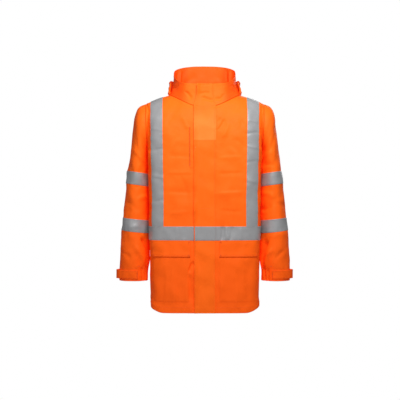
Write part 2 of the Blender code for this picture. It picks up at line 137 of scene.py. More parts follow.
# Sleeve rings from the armhole to the cuff: outer end and inner end as seen from the front, middle
# of the depth, and how far the ring reaches forwards and backwards of it.
SLEEVE = table(
    "out_x out_z in_x in_z middle front back",
    (0.2310, -0.026, 0.2215, -0.2000, 0.000, 0.088, 0.098),
    (0.2520, -0.034, 0.2250, -0.2035, 0.001, 0.090, 0.100),
    (0.2660, -0.049, 0.2255, -0.2080, 0.003, 0.091, 0.100),
    (0.2755, -0.078, 0.2255, -0.2150, 0.005, 0.091, 0.098),
    (0.2810, -0.125, 0.2248, -0.2260, 0.008, 0.090, 0.096),
    (0.2875, -0.182, 0.2243, -0.2450, 0.010, 0.089, 0.093),
    (0.2960, -0.245, 0.2238, -0.2720, 0.012, 0.088, 0.090),
    (0.3030, -0.289, 0.2238, -0.3010, 0.013, 0.087, 0.088),
    (0.3085, -0.338, 0.2228, -0.3500, 0.013, 0.086, 0.086),
    (0.3150, -0.405, 0.2206, -0.4180, 0.012, 0.083, 0.083),
    (0.3210, -0.472, 0.2212, -0.4830, 0.008, 0.080, 0.080),
    (0.3262, -0.521, 0.2222, -0.5330, 0.003, 0.077, 0.077),
    (0.3305, -0.585, 0.2180, -0.5950, -0.004, 0.071, 0.072),
    (0.3320, -0.635, 0.2175, -0.6400, -0.010, 0.063, 0.064),
    (0.3325, -0.675, 0.2235, -0.6760, -0.014, 0.055, 0.056),
    (0.3328, -0.709, 0.2245, -0.7090, -0.016, 0.050, 0.051),
    (0.3325, -0.718, 0.2248, -0.7180, -0.017, 0.049, 0.050),
)
UPPER_BAND, LOWER_BAND, STRAP = (7, 8), (10, 11), (14, 15)  # rings that tapes and strap span
STRAP_TURN = (70, 290)  # degrees from the inner edge, forwards round the outer edge
STRAP_LIFT, STRAP_LIFT_SPREAD = 0.0095, 32  # how far the strap stands off, over how many degrees

# Plan of the collar's top edge, by degrees round from the centre front.
COLLAR_TOP = table(
    "turn lateral depth",
    (0, 0.000, -0.0980),
    (22, 0.045, -0.0975),
    (42, 0.080, -0.0910),
    (60, 0.105, -0.0640),
    (78, 0.118, -0.0260),
    (95, 0.121, 0.0120),
    (115, 0.114, 0.0430),
    (138, 0.086, 0.0680),
    (160, 0.045, 0.0800),
    (180, 0.000, 0.0830),
)
COLLAR_FRONT_TOP, COLLAR_BACK_TOP = 0.044, 0.137
COLLAR_FLARE = 2.6  # how quickly the collar narrows above its seam

# The hood hangs folded down: from its seam it falls down the back, turns, and rises to the face
# edge. By degrees round from the centre front: share of the back's curve that it falls down, how far
# the face edge stands off its seam, and at what elevation.
HOOD = table(
    "turn fall swell elevation",
    (70, 0.00, 0.008, 92),
    (82, 0.00, 0.034, 104),
    (93, 0.02, 0.051, 103),
    (104, 0.16, 0.050, 92),
    (115, 0.50, 0.052, 82),
    (130, 0.80, 0.066, 65),
    (150, 0.93, 0.084, 38),
    (180, 0.95, 0.096, 28),
)
HOOD_AT_SEAM, HOOD_OFF_BACK = 0.0033, 0.0085  # how far it stands off the body, both ways at once
HOOD_LEAVES = 0.1  # share of its length in which it leaves the seam
HOOD_BULGE = 0.007
HOOD_LATE = 0.36  # share of its length at which it starts to swell, where it falls the whole way

FRONT, BACK = -1, 1
LEFT, RIGHT = 1, -1


# ---------------------------------------------------------------- reading tables and curves
def smooth(at, knots, values):
    """A smooth curve through a table: a cubic between each two knots, with Catmull-Rom slopes."""
    slopes = np.gradient(values, knots)
    at = np.clip(at, knots[0], knots[-1])
    i = np.clip(np.searchsorted(knots, at, side="right") - 1, 0, len(knots) - 2)
    span = knots[i + 1] - knots[i]
    t = (at - knots[i]) / span
    rise = values[i + 1] - values[i]
    bend = (1 - t) * slopes[i] * span - t * slopes[i + 1] * span - (1 - 2 * t) * rise
    return values[i] + t * rise + t * (1 - t) * bend


def read(source, name, at):
    """Column `name` of a table, at values of its first column."""
    return smooth(at, source[next(iter(source))], source[name])


def ease(t):
    """0 to 1 with no slope at either end."""
    t = np.clip(t, 0, 1)
    return t * t * (3 - 2 * t)


def oval(share, power):
    """1 at the middle and 0 at the edge of an oval of that squareness."""
    return np.clip(1 - np.abs(share) ** power, 0, 1) ** (1 / power)


def even_turn(power, aspect):
    """Function from a share of a quarter oval's length to its angle."""
    w = np.linspace(0, 1, 20001)
    angle = math.pi / 2 * w**3 / (w**3 + (1 - w) ** 3)
    x = aspect * np.sin(angle) ** (2 / power)
    y = np.cos(angle) ** (2 / power)
    length = np.concatenate([[0], np.cumsum(np.hypot(np.diff(x), np.diff(y)))])
    return lambda share: np.interp(share, length / length[-1], angle)


TURN = {FRONT: even_turn(FRONT_POWER, FRONT_ASPECT), BACK: even_turn(BACK_POWER, BACK_ASPECT)}


# ---------------------------------------------------------------- surfaces
def course(height):
    """How far up the body a height is: 0 at the hem and 1 at the chest line."""
    return (height - HEM) / (CHEST - HEM)


def body_depth(face, x, z):
    """Depth of the body below the curve over the shoulder, at a place seen from the front."""
    side = "front" if face == FRONT else "back"
    power = FRONT_POWER if face == FRONT else BACK_POWER
    return read(BODY, side, z) * oval(x / read(BODY, "half_width", z), power)


def on_ring(ring, across):
    """x and z of a place on a sleeve's ring, from 1 at its inner end to -1 at its outer end."""
    ends = ((ring["out_" + axis], ring["in_" + axis]) for axis in "xz")
    return ((out + inside - (out - inside) * across) / 2 for out, inside in ends)


def armhole(face, climb):
    """The armhole's edge, from the armpit at 0 to the shoulder at 1."""
    turn = math.pi * climb
    first = {name: values[0] for name, values in SLEEVE.items()}
    x, z = on_ring(first, np.cos(turn))
    reach = first["front" if face == FRONT else "back"]
    return np.stack([x, face * reach * np.sin(turn), z], -1)


def plain_body(face, share, along):
    """The body before the armhole draws it in: ovals, and curves from the chest to the shoulder."""
    power, arch = (FRONT_POWER, FRONT_ARCH) if face == FRONT else (BACK_POWER, BACK_ARCH)
    height = HEM + (CHEST - HEM) * np.minimum(along, 1)
    bent = ease((share - HEM_FLAT) / HEM_TURN) * ease(1 - (height - HEM) / HEM_BEND)
    height = height + HEM_RISE * bent
    climb = np.maximum(along - 1, 0)
    turn = TURN[face](share)
    low = read(BODY, "half_width", height) * np.sin(turn) ** (2 / power)
    top = read(LANE_TOPS, "lateral", share)
    x = low + (top - low) * climb
    neck = NECK_FRONT if face == FRONT else NECK_BACK
    neck = neck * oval(np.minimum(top / NECK_HALF, 1), NECK_POWER)
    whole = np.maximum(body_depth(face, top, CHEST), neck + STEP)
    last = np.arccos((neck / whole) ** (arch / 2))
    rise = np.sin(last * climb) ** (2 / arch)
    z = height + (read(RIDGE, "height", x) - CHEST) * np.where(climb > 0, rise, 0)
    low_y = read(BODY, "front" if face == FRONT else "back", height) * np.cos(turn) ** (2 / power)
    inwards = np.cos(last * climb) ** (2 / arch)
    high_y = body_depth(face, x, z) * inwards
    lift = ease(climb / 0.25)
    y = np.where(climb > 0, low_y * (1 - lift) * inwards + high_y * lift, low_y)
    return np.stack([x, face * y, z], -1)


def body(face):
    """Surface of front or back: signed share across, and way up, 1 at the chest, 2 at the top."""

    def surface(across, along):
        along = np.clip(along, 0, 2)
        share = np.minimum(np.abs(across), 1)
        points = plain_body(face, share, along)
        climb = np.maximum(along - 1, 0)
        pull = ease((share - TAPE_OUT) / (1 - TAPE_OUT)) * (climb > 0)
        edge = armhole(face, climb) - plain_body(face, np.ones_like(share), along)
        points = points + pull[..., None] * edge
        for i in np.flatnonzero(FOLDS["face"] == face):
            far = ((across - FOLDS["share"][i]) / FOLDS["spread"][i]) ** 2
            far = far + ((points[..., 2] - FOLDS["height"][i]) / FOLDS["reach"][i]) ** 2
            points[..., 1] += face * FOLDS["depth"][i] * np.exp(-far)
        points[..., 0] *= np.where(across < 0, -1, 1)
        return points

    return surface


def sleeve(side):
    """Surface of a sleeve: degrees round from its inner edge, forwards, and the ring's number."""
    rings = np.arange(len(SLEEVE["out_x"]), dtype=float)

    def surface(turn, ring):
        ring = np.clip(ring, 0, rings[-1])
        at = {name: smooth(ring, rings, values) for name, values in SLEEVE.items()}
        across, deep = np.cos(np.radians(turn)), np.sin(np.radians(turn))
        x, z = on_ring(at, across)
        y = at["middle"] - np.where(deep > 0, at["front"], at["back"]) * deep
        clear = (2 * GAP + CLOTH * (1 + across)) * np.clip(1 - ring, 0, 1)
        return np.stack([side * (x + clear), y, z], -1)

    return surface


def from_neck(turn, fall):
    """The body's surface by degrees round the neck, and the share of its curve fallen from there."""
    angle = np.radians(turn)
    lateral = NECK_HALF * np.abs(np.sin(angle)) ** (2 / NECK_POWER)
    shares = np.linspace(0, NECK_POINT, 2001)
    share = np.interp(lateral, read(LANE_TOPS, "lateral", shares), shares)
    in_front = (np.cos(angle) > 0)[..., None]
    along = 2 - np.maximum(fall, 0)
    points = np.where(in_front, plain_body(FRONT, share, along), plain_body(BACK, share, along))
    points[..., 0] *= np.where(np.sin(angle) < 0, -1, 1)
    return points


def neckline(turn):
    """The collar seam, by degrees round from the centre front, on top of the body's outer face."""
    points = from_neck(turn, np.zeros_like(turn))
    points[..., 2] += COLLAR_SEAM
    return points


def collar(turn, along):
    """Surface of the collar: degrees round from the centre front, and 0 at its seam to 1 above."""
    base = neckline(turn)
    half = np.abs((turn + 180) % 360 - 180)
    x = read(COLLAR_TOP, "lateral", half) * np.where(np.sin(np.radians(turn)) < 0, -1, 1)
    y = read(COLLAR_TOP, "depth", half)
    front, back = COLLAR_TOP["depth"][0], COLLAR_TOP["depth"][-1]
    z = COLLAR_FRONT_TOP + (COLLAR_BACK_TOP - COLLAR_FRONT_TOP) * (y - front) / (back - front)
    top = np.stack([x, y, z], -1)
    along = np.clip(along, 0, 1)
    flare = ((1 - along) ** COLLAR_FLARE)[..., None]
    points = top + (base - top) * flare
    points[..., 2] = base[..., 2] + (z - base[..., 2]) * along
    return points


def hood(turn, along):
    """Surface of the hood: degrees round from the centre front, and 0 at its seam to 1 at its end."""
    half = np.abs((turn + 180) % 360 - 180)
    at = {name: read(HOOD, name, half) for name in list(HOOD)[1:]}
    along = np.clip(along, 0, 1)
    points = from_neck(turn, at["fall"] * np.sin(math.pi * along))
    angle, tilt = np.radians(turn), np.radians(at["elevation"])
    radial = np.stack([np.sin(angle), -np.cos(angle), np.zeros_like(angle)], -1)
    upright = np.array([0.0, 0.0, 1.0])
    fullness = at["swell"] / HOOD["swell"][-1]
    off = HOOD_AT_SEAM + (HOOD_OFF_BACK - HOOD_AT_SEAM) * ease(along / HOOD_LEAVES) * fullness
    late = HOOD_LATE * at["fall"]
    swell = at["swell"] * ease((along - late) / (1 - late))
    bulge = HOOD_BULGE * np.sin(math.pi * along) * fullness**2
    out = (swell * np.cos(tilt) + bulge + off * math.sqrt(0.5))[..., None]
    up = (swell * np.sin(tilt) + off * math.sqrt(0.5) + COLLAR_SEAM * (1 - ease(along)))[..., None]
    return points + out * radial + up * upright


# ---------------------------------------------------------------- creases
# Creases on the flat cloth: s is across, from the centre line towards the wearer's left, and h is
# the height. A crease runs from the first point to the second and bows sideways. It is a ridge where
# its depth is above 0 and a trough below, and falls away over one width on its one side and another
# on its other.
def crease_table(*rows):
    """Creases in metres, from rows in millimetres."""
    whole = table("s0 h0 s1 h1 bow near far depth", *rows)
    return {name: values / 1000 for name, values in whole.items()}


FRONT_CREASES = crease_table(
    # from the neck, towards the armholes
    (58, -80, 50, -100, 0, 3, 7, -1.6),
    (78, -82, 47, -140, 3, 4, 10, -2.2),
    (92, -98, 66, -168, 4, 5, 12, 2),
    (120, -60, 150, -120, 6, 10, 6, -1.6),
    (-85, -75, -62, -130, -3, 9, 5, 1.5),
    (-120, -55, -150, -115, -5, 6, 12, -1.4),
    # folds that are left from the packing, straight across
    (-150, -236, -50, -240, 1, 4, 12, -1),
    (46, -243, 150, -238, 1, 12, 4, 1.1),
    (-152, -302, -48, -299, 0, 4, 10, 1),
    (48, -303, 152, -299, 1, 10, 4, -1.2),
    (-155, -372, -50, -377, 0, 5, 14, -1.4),
    (46, -377, 158, -373, 1, 14, 4, 1.8),
    (50, -440, 155, -446, -2, 10, 5, -1),
    (-150, -455, -60, -447, 2, 12, 5, 0.9),
    # long soft ones on the chest and towards the armpits
    (85, -200, 155, -285, 12, 16, 8, 1.4),
    (115, -170, 158, -215, 6, 6, 12, -1.4),
    (-90, -165, -156, -250, -12, 8, 18, 1.5),
    (-105, -300, -70, -420, 10, 14, 8, -1.2),
    (100, -330, 70, -470, -10, 10, 18, 1.3),
    # at the waist and on the skirt
    (70, -500, 66, -560, 2, 4, 7, -2.7),
    (86, -498, 94, -558, -2, 7, 4, 2.6),
    (106, -500, 100, -562, 3, 4, 8, -2.1),
    (140, -505, 146, -556, 1, 5, 7, 1),
    (-118, -500, -113, -556, 2, 5, 7, 1.1),
    (-80, -503, -84, -554, 2, 6, 4, -1),
    (-47, -636, -66, -680, -3, 4, 10, -3.6),
    (-68, -672, -62, -800, 4, 7, 18, -3.4),
    (52, -640, 62, -810, -4, 14, 7, -1.6),
    (110, -660, 130, -820, 8, 20, 12, 2),
    (-130, -650, -115, -800, -8, 14, 20, 2),
    (168, -640, 176, -800, 4, 12, 18, -1.8),
    (-172, -660, -180, -810, 4, 18, 10, -1.6),
    # across the braces
    (160, -92, 215, -100, 2, 4, 6, 1),
    (158, -150, 214, -141, 1, 6, 4, -1.2),
    (162, -197, 213, -205, -2, 4, 7, 1.2),
    (158, -262, 215, -252, 1, 5, 4, -0.9),
    (160, -330, 212, -338, 2, 5, 8, 1.1),
    (-214, -128, -160, -137, 1, 4, 6, 0.9),
    (-212, -216, -162, -207, 1, 6, 5, -1),
    (-215, -310, -160, -322, 2, 5, 7, 1),
    (-213, -410, -160, -402, 1, 6, 4, -0.8),
    # between the braces and the armholes
    (222, -120, 245, -185, 4, 4, 8, -2.2),
    (226, -200, 262, -260, 6, 6, 12, 2.2),
    (-222, -115, -246, -180, 4, 8, 4, -2),
    (-224, -210, -260, -275, 6, 12, 6, 2),
)

BACK_CREASES = crease_table(
    (-40, -150, -120, -235, 10, 6, 14, -1.8),
    (52, -140, 125, -215, -12, 14, 6, -1.6),
    (-150, -236, 20, -240, 3, 4, 12, -1.1),
    (10, -303, 150, -296, 2, 12, 4, 1.3),
    (-155, -376, -15, -370, 2, 5, 14, 1.4),
    (30, -379, 155, -374, 1, 13, 5, -1.2),
    (-120, -280, -60, -420, 16, 16, 9, 1.6),
    (100, -250, 70, -400, -14, 9, 18, 1.5),
    (-145, -440, -30, -462, 4, 6, 16, -1.8),
    (45, -455, 150, -438, -4, 14, 6, -1.6),
    (-100, -500, -104, -560, 1, 4, 6, 1.4),
    (-62, -500, -55, -558, 1, 6, 4, -1.2),
    (78, -502, 82, -560, 1, 5, 7, -1.3),
    (125, -500, 118, -556, 1, 7, 4, 1.2),
    (-130, -580, -85, -810, 16, 18, 10, 3.2),
    (-50, -600, -20, -800, -8, 12, 20, -2.6),
    (45, -585, 60, -815, 10, 20, 12, 3.4),
    (115, -600, 150, -790, 12, 10, 20, -2.6),
    (180, -590, 190, -800, 4, 16, 12, 2.2),
    (-185, -600, -200, -780, 4, 14, 18, -2),
    (160, -130, 215, -122, 1, 4, 7, 1),
    (160, -245, 214, -256, 1, 6, 4, -1.1),
    (-214, -175, -160, -166, 1, 4, 6, 1.1),
    (-215, -330, -158, -342, 2, 6, 4, -1),
    (224, -130, 248, -215, 5, 5, 10, -2.6),
    (-224, -125, -250, -210, 5, 10, 5, -2.6),
    (222, -230, 262, -300, 6, 12, 7, 2.4),
    (-222, -240, -264, -320, 6, 8, 14, 2.4),
)

# On a sleeve s is 0 at its outer edge and above 0 in front, and h is its rings' middle height.
SLEEVE_CREASES = {
    LEFT: crease_table(
        (146, -556, 196, -665, 9, 7, 18, -7.8),
        (128, -585, 170, -668, 6, 12, 8, 3.4),
        (176, -662, 174, -728, 1, 4, 8, -4.5),
        (150, -668, 152, -727, 2, 4, 9, -3.6),
        (60, -600, 120, -640, 6, 10, 6, -1.6),
        (100, -395, 190, -372, 10, 14, 7, 2),
        (120, -425, 205, -432, -8, 6, 12, -2.6),
        (20, -440, 110, -420, 8, 12, 8, -1.2),
        (70, -240, 160, -215, 10, 14, 8, 1.6),
        (90, -275, 180, -262, 6, 6, 12, -1.4),
        (50, -535, 140, -552, 8, 14, 8, 1.8),
        (-40, -560, -150, -600, 10, 10, 18, -3),
        (-80, -400, -190, -380, 12, 16, 9, -3),
        (-60, -440, -180, -455, 10, 10, 16, 2.6),
        (-50, -230, -170, -205, 10, 14, 9, 2.2),
        (-110, -640, -170, -690, 6, 6, 12, -2.6),
        (15, -70, 70, -115, 4, 6, 12, -1.2),
    ),
    RIGHT: crease_table(
        (142, -545, 193, -646, 11, 7, 19, -7.8),
        (118, -575, 168, -655, 6, 14, 8, 3.4),
        (180, -655, 176, -728, 1, 4, 8, -4.5),
        (156, -662, 160, -728, 2, 4, 9, -3.6),
        (110, -408, 196, -384, 10, 12, 7, 2),
        (100, -360, 170, -345, 6, 6, 14, -1.4),
        (40, -415, 130, -448, 8, 8, 14, -1.4),
        (60, -225, 150, -250, 10, 8, 14, 1.5),
        (70, -520, 150, -505, 6, 8, 12, 1.6),
        (30, -610, 100, -630, 6, 10, 6, -1.4),
        (-50, -550, -160, -590, 10, 12, 18, -3),
        (-70, -415, -195, -400, 12, 16, 9, -2.8),
        (-60, -460, -170, -480, 10, 10, 14, 2.6),
        (-60, -250, -180, -220, 10, 16, 9, 2.2),
        (-100, -650, -180, -700, 6, 6, 12, -2.6),
        (20, -65, 80, -105, 4, 10, 5, -1.2),
    ),
}

# On the collar s runs round from the centre front and h up from the seam.
COLLAR_CREASES = crease_table(
    (-80, 52, -48, 22, 2, 4, 8, -3.4),
    (-22, 54, 18, 58, 1, 3, 6, -2.2),
    (-14, 42, 30, 22, -2, 4, 7, -3),
    (34, 30, 62, 18, -2, 4, 7, -2.4),
    (60, 20, 74, 40, 1, 4, 6, -1.5),
    (115, 75, 150, 30, 4, 8, 5, -1.6),
    (-120, 80, -155, 30, 4, 5, 10, -1.8),
    (262, 95, 268, 35, 3, 6, 13, -5.2),
    (285, 95, 284, 45, 2, 12, 6, 2.2),
    (-278, 95, -272, 30, 3, 6, 13, -5.2),
    (-255, 92, -252, 40, 2, 10, 6, 2),
    (-360, 60, -300, 35, 6, 8, 14, 1.6),
    (320, 50, 370, 30, 6, 14, 8, -1.6),
)

# On the hood s runs round from the centre back, and h from the seam down and up to the face edge.
HOOD_CREASES = crease_table(
    (-150, 60, -20, 130, 12, 8, 18, -3),
    (30, 120, 160, 70, 12, 16, 8, 3),
    (-120, 200, -20, 275, -12, 10, 22, 4.4),
    (110, 185, 30, 260, 12, 22, 10, 4.2),
    (-170, 250, -60, 330, 14, 14, 8, -3.6),
    (165, 240, 50, 335, -14, 8, 16, -3.6),
    (-30, 300, 50, 360, 8, 8, 14, -2.6),
    (-210, 300, -150, 390, 8, 8, 14, -2.6),
    (215, 290, 160, 380, 8, 14, 8, -2.6),
)

FLAT_HALF_GIRTH = 0.31  # half of a front or back, from its centre line to the side seam
FLAT_HALF_SLEEVE = 0.22
FLAT_HALF_COLLAR = 0.38
FLAT_HALF_HOOD, FLAT_HOOD = 0.38, 0.42
FLAP_FREE = -FLAP_EDGE * FLAT_HALF_GIRTH  # the storm flap's free edge on the flat cloth

CRISPNESS = 1.6  # multiplies the depth of every crease


def folded(s, h, creases):
    """Height of the creases: each a soft bump across its line, that fades in and out along it."""
    total = np.zeros_like(s)
    for s0, h0, s1, h1, bow, near, far, depth in zip(*creases.values()):
        length = math.hypot(s1 - s0, h1 - h0)
        t = ((s - s0) * (s1 - s0) + (h - h0) * (h1 - h0)) / length**2
        off = ((h - h0) * (s1 - s0) - (s - s0) * (h1 - h0)) / length - bow * 4 * t * (1 - t)
        width = np.where(off < 0, near, far)
        fade = ease(t / 0.3 + 0.15) * ease((1 - t) / 0.3 + 0.15)
        total += depth * np.exp(-((off / width) ** 2)) * fade
    return total * CRISPNESS


def rumpled(s, h, seed, amount, shortest=0.028, longest=0.11, count=18, girth=None):
    """Slight unevenness: waves of many directions and lengths, the longer ones higher, added up.

    Round a tube a whole number of each wave goes into its girth.
    """
    draw = np.random.default_rng(seed)
    total = np.zeros_like(s)
    for _ in range(count):
        heading, phase = draw.uniform(0, 2 * math.pi, 2)
        length = shortest * (longest / shortest) ** draw.uniform()
        across, up = math.cos(heading) / length, math.sin(heading) / length
        across = round(across * girth) / girth if girth else across
        total += length * np.sin((s * across + h * up) * 2 * math.pi + phase)
    return amount * total / (longest * math.sqrt(count / 2))


def puckered(run, away, seed, reach=0.010, amount=0.0005):
    """Short waves along a seam, that die away from it."""
    return rumpled(run, 0 * run, seed, amount, 0.011, 0.034, 9) * np.exp(-np.abs(away) / reach)


class Skin:
    """A surface with its creases. It gives points a little above it, and which way is out.

    `calm` is 0 where a seam holds the cloth still, and 1 well away from the seams.
    """

    def __init__(self, surface, flat, relief, calm, steps, outwards):
        self.surface, self.flat, self.relief, self.calm = surface, flat, relief, calm
        self.steps, self.outwards = steps, outwards

    def smooth_form(self, u, v):
        """Points and outward normals before creasing; normals come from small steps each way."""
        du, dv = self.steps
        over_u = self.surface(u + du, v) - self.surface(u - du, v)
        over_v = self.surface(u, v + dv) - self.surface(u, v - dv)
        normals = np.cross(over_u, over_v) * self.outwards
        return self.surface(u, v), normals / np.linalg.norm(normals, axis=-1, keepdims=True)

    def at(self, u, v, lift=0.0):
        """Points that lie `lift` above the creased surface, and their normals."""
        points, normals = self.smooth_form(u, v)
        s, h = self.flat(u, v, points)
        lift = lift(s, h) if callable(lift) else lift
        return points + normals * (self.relief(s, h) * self.calm(u, v) + lift)[..., None], normals


def body_flat(face):
    """Flat place on the front or back: across, and the height, with what goes over the shoulder."""
    surface = body(face)

    def flat(u, v, points):
        below = surface(u, np.minimum(v, 1))
        over = np.maximum(np.abs(below[..., 1]) - np.abs(points[..., 1]), 0)
        return u * FLAT_HALF_GIRTH, np.where(v > 1, points[..., 2] + over, HEM + (CHEST - HEM) * v)

    return flat


def body_calm(u, v):
    """Still at the side seams and armholes, and at the shoulder and neck seams."""
    return ease((1 - np.abs(u)) / 0.09) * ease((2 - v) / 0.12)


SEAM_LINES = [edge * FLAT_HALF_GIRTH for edge in (TAPE_IN, TAPE_OUT)]
HEM_DEPTH = 0.024


def body_relief(face):
    """Creases, unevenness, puckers by the braces' seams, and the hem's second layer."""
    creases = FRONT_CREASES if face == FRONT else BACK_CREASES

    def relief(s, h):
        total = folded(s, h, creases) + rumpled(s, h, 5 + face, 0.0013)
        for i, line in enumerate(SEAM_LINES):
            for side in (LEFT, RIGHT):
                total += puckered(h, s - side * line, 20 + 4 * i + side + 10 * face)
        if face == FRONT:
            total += puckered(h, np.abs(s) - FLAP_EDGE * FLAT_HALF_GIRTH, 41, amount=0.0004)
        total += puckered(s, h - HEM - HEM_DEPTH, 43 + face, 0.014, 0.0005)
        return total + 0.0007 * ease((HEM + HEM_DEPTH - h) / 0.0015)

    return relief


def sleeve_flat(u, v, points):
    """Flat place on a sleeve: round from the outer edge, front above 0, and the middle height."""
    rings = np.arange(len(SLEEVE["out_x"]), dtype=float)
    middle = (SLEEVE["out_z"] + SLEEVE["in_z"]) / 2
    return (180 - u) / 180 * FLAT_HALF_SLEEVE, smooth(v, rings, middle)


def sleeve_calm(u, v):
    """Still at the armhole, and along the seam on the inner edge."""
    return ease(v) * (0.3 + 0.7 * ease((180 - np.abs(180 - u)) / 12))


CUFF_SEAM = -0.672


def sleeve_relief(side):
    """Creases, unevenness, puckers at the armhole, the cuff's seam and the tapes' edges."""

    def relief(s, h):
        total = folded(s, h, SLEEVE_CREASES[side])
        total += rumpled(s, h, 60 + side, 0.0013, girth=2 * FLAT_HALF_SLEEVE)
        for i, line in enumerate((-0.118, *BAND_EDGES, CUFF_SEAM, -0.704)):
            total += puckered(s, h - line, 70 + 3 * i + side, 0.011, 0.0006)
        return total + 0.0006 * ease((CUFF_SEAM - h) / 0.0015)

    return relief


def ring_height(ring):
    """Middle height of a sleeve's ring."""
    return (SLEEVE["out_z"][ring] + SLEEVE["in_z"][ring]) / 2


BAND_EDGES = [ring_height(ring) for ring in (*UPPER_BAND, *LOWER_BAND)]


def collar_flat(u, v, points):
    """Flat place on the collar: round from the centre front, and up from the seam."""
    around = (u + 180) % 360 - 180
    return around / 180 * FLAT_HALF_COLLAR, v * 0.1


def collar_calm(u, v):
    """Still at the neck seam."""
    return ease(v / 0.25)


def collar_relief(s, h):
    """Creases, unevenness, and puckers at the seam and the top edge."""
    total = folded(s, h, COLLAR_CREASES) + rumpled(s, h, 81, 0.0009, girth=2 * FLAT_HALF_COLLAR)
    return total + puckered(s, h, 83, 0.010, 0.0005) + puckered(s, h - 0.1, 85, 0.008, 0.0004)


def hood_flat(u, v, points):
    """Flat place on the hood: round from the centre back, and along from the seam."""
    return (180 - u) / (180 - HOOD["turn"][0]) * FLAT_HALF_HOOD, v * FLAT_HOOD


def hood_calm(u, v):
    """Still at the neck seam."""
    return ease(v / 0.10)


HOOD_SEAM = 0.085  # from the hood's centre line to each of its two long seams


def hood_relief(s, h):
    """Creases, unevenness, and puckers at the face edge and the two long seams."""
    total = folded(s, h, HOOD_CREASES) + rumpled(s, h, 91, 0.0022, 0.04, 0.16)
    total += puckered(s, h - FLAT_HOOD, 95, 0.014, 0.0008)
    return total + puckered(h, np.abs(s) - HOOD_SEAM, 97, 0.010, 0.0008)


LEFT_SLEEVE, RIGHT_SLEEVE = sleeve_relief(LEFT), sleeve_relief(RIGHT)
SKINS = {
    FRONT: Skin(body(FRONT), body_flat(FRONT), body_relief(FRONT), body_calm, (2e-4, 2e-4), 1),
    BACK: Skin(body(BACK), body_flat(BACK), body_relief(BACK), body_calm, (2e-4, 2e-4), -1),
    "sleeve_left": Skin(sleeve(LEFT), sleeve_flat, LEFT_SLEEVE, sleeve_calm, (0.05, 1e-3), -1),
    "sleeve_right": Skin(sleeve(RIGHT), sleeve_flat, RIGHT_SLEEVE, sleeve_calm, (0.05, 1e-3), 1),
    "collar": Skin(collar, collar_flat, collar_relief, collar_calm, (0.02, 1e-3), 1),
    "hood": Skin(hood, hood_flat, hood_relief, hood_calm, (0.05, 1e-3), 1),
}


# ---------------------------------------------------------------- shells
SPACING = 0.0040
RIM = 0.0024  # how far in from its edge a piece reaches its full thickness
STITCH_IN = 0.0055  # from a piece's edge to its stitches
EDGE_STEPS = np.array([0.0, 0.0005, 0.0012, 0.0024, 0.0043, STITCH_IN, 0.0067])
EDGE_LEFT = 0.0003  # part of the rim that the edge leaves out, so it keeps some thickness
GROOVE, GROOVE_HALF = 0.22, 0.0011  # share of the thickness that stitches pull in, and how near
SEAM = 0.1 * GAP  # how far a cut edge is drawn in where it is sewn to its neighbour


def length_along(points):
    """Distance from the start, along the last axis but one."""
    steps = np.linalg.norm(np.diff(points, axis=-2), axis=-1)
    return np.concatenate([np.zeros((*steps.shape[:-1], 1)), np.cumsum(steps, axis=-1)], axis=-1)


def spaced(dense, points, spacing=SPACING, edges=(True, True)):
    """Values of a dense run at even distances along it, and close together at its cut edges."""
    length = length_along(points)
    first = EDGE_STEPS + SEAM if edges[0] else np.array([0.0])
    last = length[-1] - (EDGE_STEPS[::-1] + SEAM if edges[1] else np.array([0.0]))
    count = max(int((last[0] - first[-1]) / spacing), 1)
    inner = np.linspace(first[-1], last[0], count + 1)
    return np.interp(np.concatenate([first[:-1], inner, last[1:]]), length, dense)


def climb_run(low, high, count=500):
    """A dense run up a body panel, closer where the curve over the shoulder begins and ends."""
    w = np.linspace(0, 1, count)
    climb = w**1.7 / (w**1.7 + (1 - w) ** 1.7)
    whole = np.concatenate([np.linspace(0, 1, count), 1 + climb[1:]])
    inside = whole[(whole > low) & (whole < high)]
    return np.concatenate([[low], inside, [high]])


def across_run(skin, low, high, v, edges=(True, True), spacing=SPACING):
    """Values across a patch, even in distance along the row `v`."""
    dense = np.linspace(low, high, 700)
    return spaced(dense, skin.surface(dense, np.full_like(dense, v)), spacing, edges)


def along_run(skin, u, dense, edges=(True, True), spacing=SPACING):
    """Values along a patch, even in distance on the column `u`."""
    return spaced(dense, skin.surface(np.full_like(dense, u), dense), spacing, edges)


def new_mesh(name, points, quads, uv=None):
    """A smooth-shaded mesh of quads, and the flat place of each corner in metres as its UV map."""
    mesh = bpy.data.meshes.new(name)
    mesh.vertices.add(len(points))
    mesh.vertices.foreach_set("co", points.astype(np.float32).ravel())
    mesh.loops.add(quads.size)
    mesh.loops.foreach_set("vertex_index", quads.astype(np.int32).ravel())
    mesh.polygons.add(len(quads))
    starts = np.arange(0, quads.size, quads.shape[1], dtype=np.int32)
    mesh.polygons.foreach_set("loop_start", starts)
    if uv is not None:
        layer = mesh.uv_layers.new(name="cloth")
        layer.data.foreach_set("uv", uv.astype(np.float32).ravel())
    mesh.update(calc_edges=True)
    mesh.validate()
    mesh.shade_smooth()
    return mesh


def placed(name, mesh, look, stands_for=()):
    """The mesh as a piece that moves with the jacket and stands for those solids."""
    mesh.materials.append(LOOKS[look])
    piece = bpy.data.objects.new(name, mesh)
    bpy.context.scene.collection.objects.link(piece)
    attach(piece, "root")
    if stands_for:
        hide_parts(*stands_for)
    return piece


